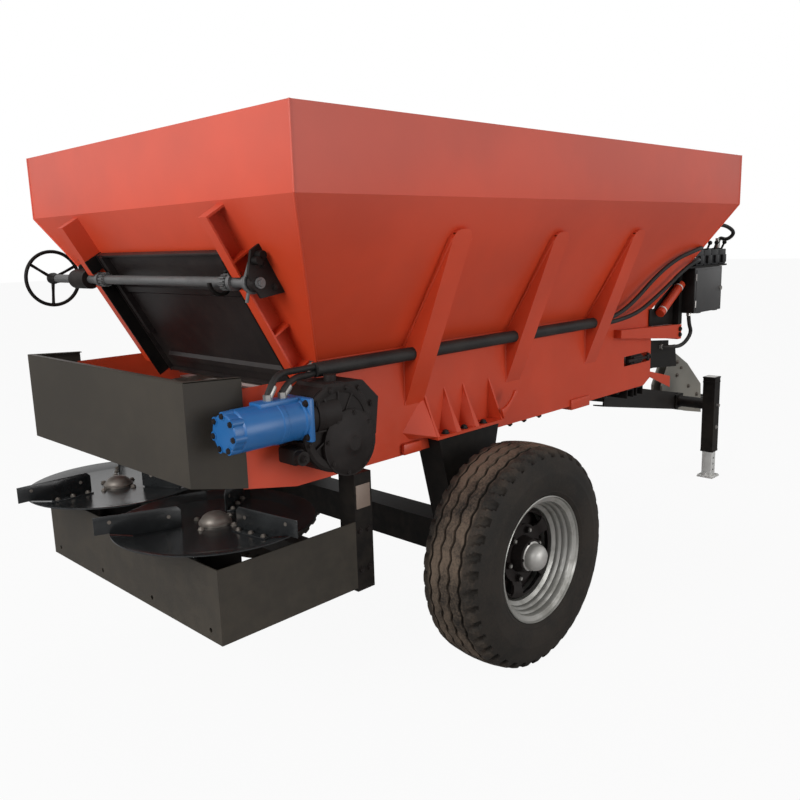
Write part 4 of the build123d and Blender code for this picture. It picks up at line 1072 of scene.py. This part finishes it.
def make_hose(number, points):
    curve = bpy.data.curves.new(f"hose_{number}", "CURVE")
    curve.dimensions = "3D"
    curve.bevel_depth = HOSE_R
    curve.bevel_resolution = 5
    curve.use_fill_caps = True
    spline = curve.splines.new("NURBS")
    spline.points.add(len(points) - 1)
    for point, (x, y, z) in zip(spline.points, points):
        point.co = (x + AXLE_X, y, z, 1.0)
    spline.order_u = 3
    spline.use_endpoint_u = True
    spline.resolution_u = 14
    curve.materials.append(finishes["hose_rubber"])
    made = bpy.data.objects.new(f"hose_{number}", curve)
    scene.collection.objects.link(made)
    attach(made, "frame")
    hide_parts("hydraulic_hoses")


for number, points in enumerate(hose_points, 1):
    make_hose(number, points)
print(len(hose_points), "hoses ready")

# %% [markdown]
# The floor is almost white to the camera and keeps only a faint shadow, while it sends a plain
# grey's light up to the machine.

# %% Floor
FAR, GREY, WHITE = 40.0, (0.5, 0.5, 0.5, 1.0), (1.0, 1.0, 1.0, 1.0)
SEEN_WHITE = 0.94          # how much of the floor is plain white to the camera
mesh = bpy.data.meshes.new("floor")
mesh.from_pydata([(-FAR, -FAR, 0), (FAR, -FAR, 0), (FAR, FAR, 0), (-FAR, FAR, 0)], [], [range(4)])
floor = bpy.data.objects.new("floor", mesh)
scene.collection.objects.link(floor)
material = bpy.data.materials.new("floor")
material.use_nodes = True
tree = material.node_tree
tree.nodes.clear()
maths = Value(tree)
seen = maths.node("ShaderNodeLightPath", output="Is Camera Ray")
plain = maths.node("ShaderNodeBsdfDiffuse", None, {"Color": GREY})
white = maths.node("ShaderNodeEmission", None, {"Color": WHITE, "Strength": 1.0})
mixed = maths.node("ShaderNodeMixShader", None, {0: seen * SEEN_WHITE, 1: plain, 2: white})
output = tree.nodes.new("ShaderNodeOutputMaterial")
tree.links.new(mixed.socket, output.inputs["Surface"])
mesh.materials.append(material)
print("floor ready")

# %% [markdown]
# A plain studio: a soft lamp behind the machine, one out to its right and a weaker one above.
# The world is white to the camera, nearly so in mirrors, and otherwise a dim sky.

# %% Lamps and world
def lamp(name, place, target, size, power):
    data = bpy.data.lights.new(name, "AREA")
    data.shape = "DISK"
    data.size = size
    data.energy = power
    light = bpy.data.objects.new(name, data)
    light.location = place
    light.rotation_euler = (Vector(target) - Vector(place)).to_track_quat("-Z", "Y").to_euler()
    scene.collection.objects.link(light)


lamp("key", (-6.5, -1.0, 3.2), (-0.8, 0.0, 1.2), 3.5, 260.0)
lamp("side", (0.5, -7.0, 1.8), (0.0, 0.0, 1.1), 4.0, 170.0)
lamp("top", (0.5, 1.5, 6.5), (0.0, 0.0, 1.0), 4.0, 120.0)
world = bpy.data.worlds.new("studio")
scene.world = world
world.use_nodes = True
tree = world.node_tree
maths = Value(tree)
straight = maths.node("ShaderNodeLightPath", output="Is Camera Ray")
mirrored = maths.node("ShaderNodeLightPath", output="Is Glossy Ray")
background = tree.nodes["Background"]
background.inputs["Color"].default_value = WHITE
strength = 0.3 + 0.7 * straight + 0.6 * mirrored       # 1.0 seen straight, 0.9 in mirrors, else 0.3
tree.links.new(strength.socket, background.inputs["Strength"])
scene.view_settings.view_transform = "Standard"
print("studio ready")
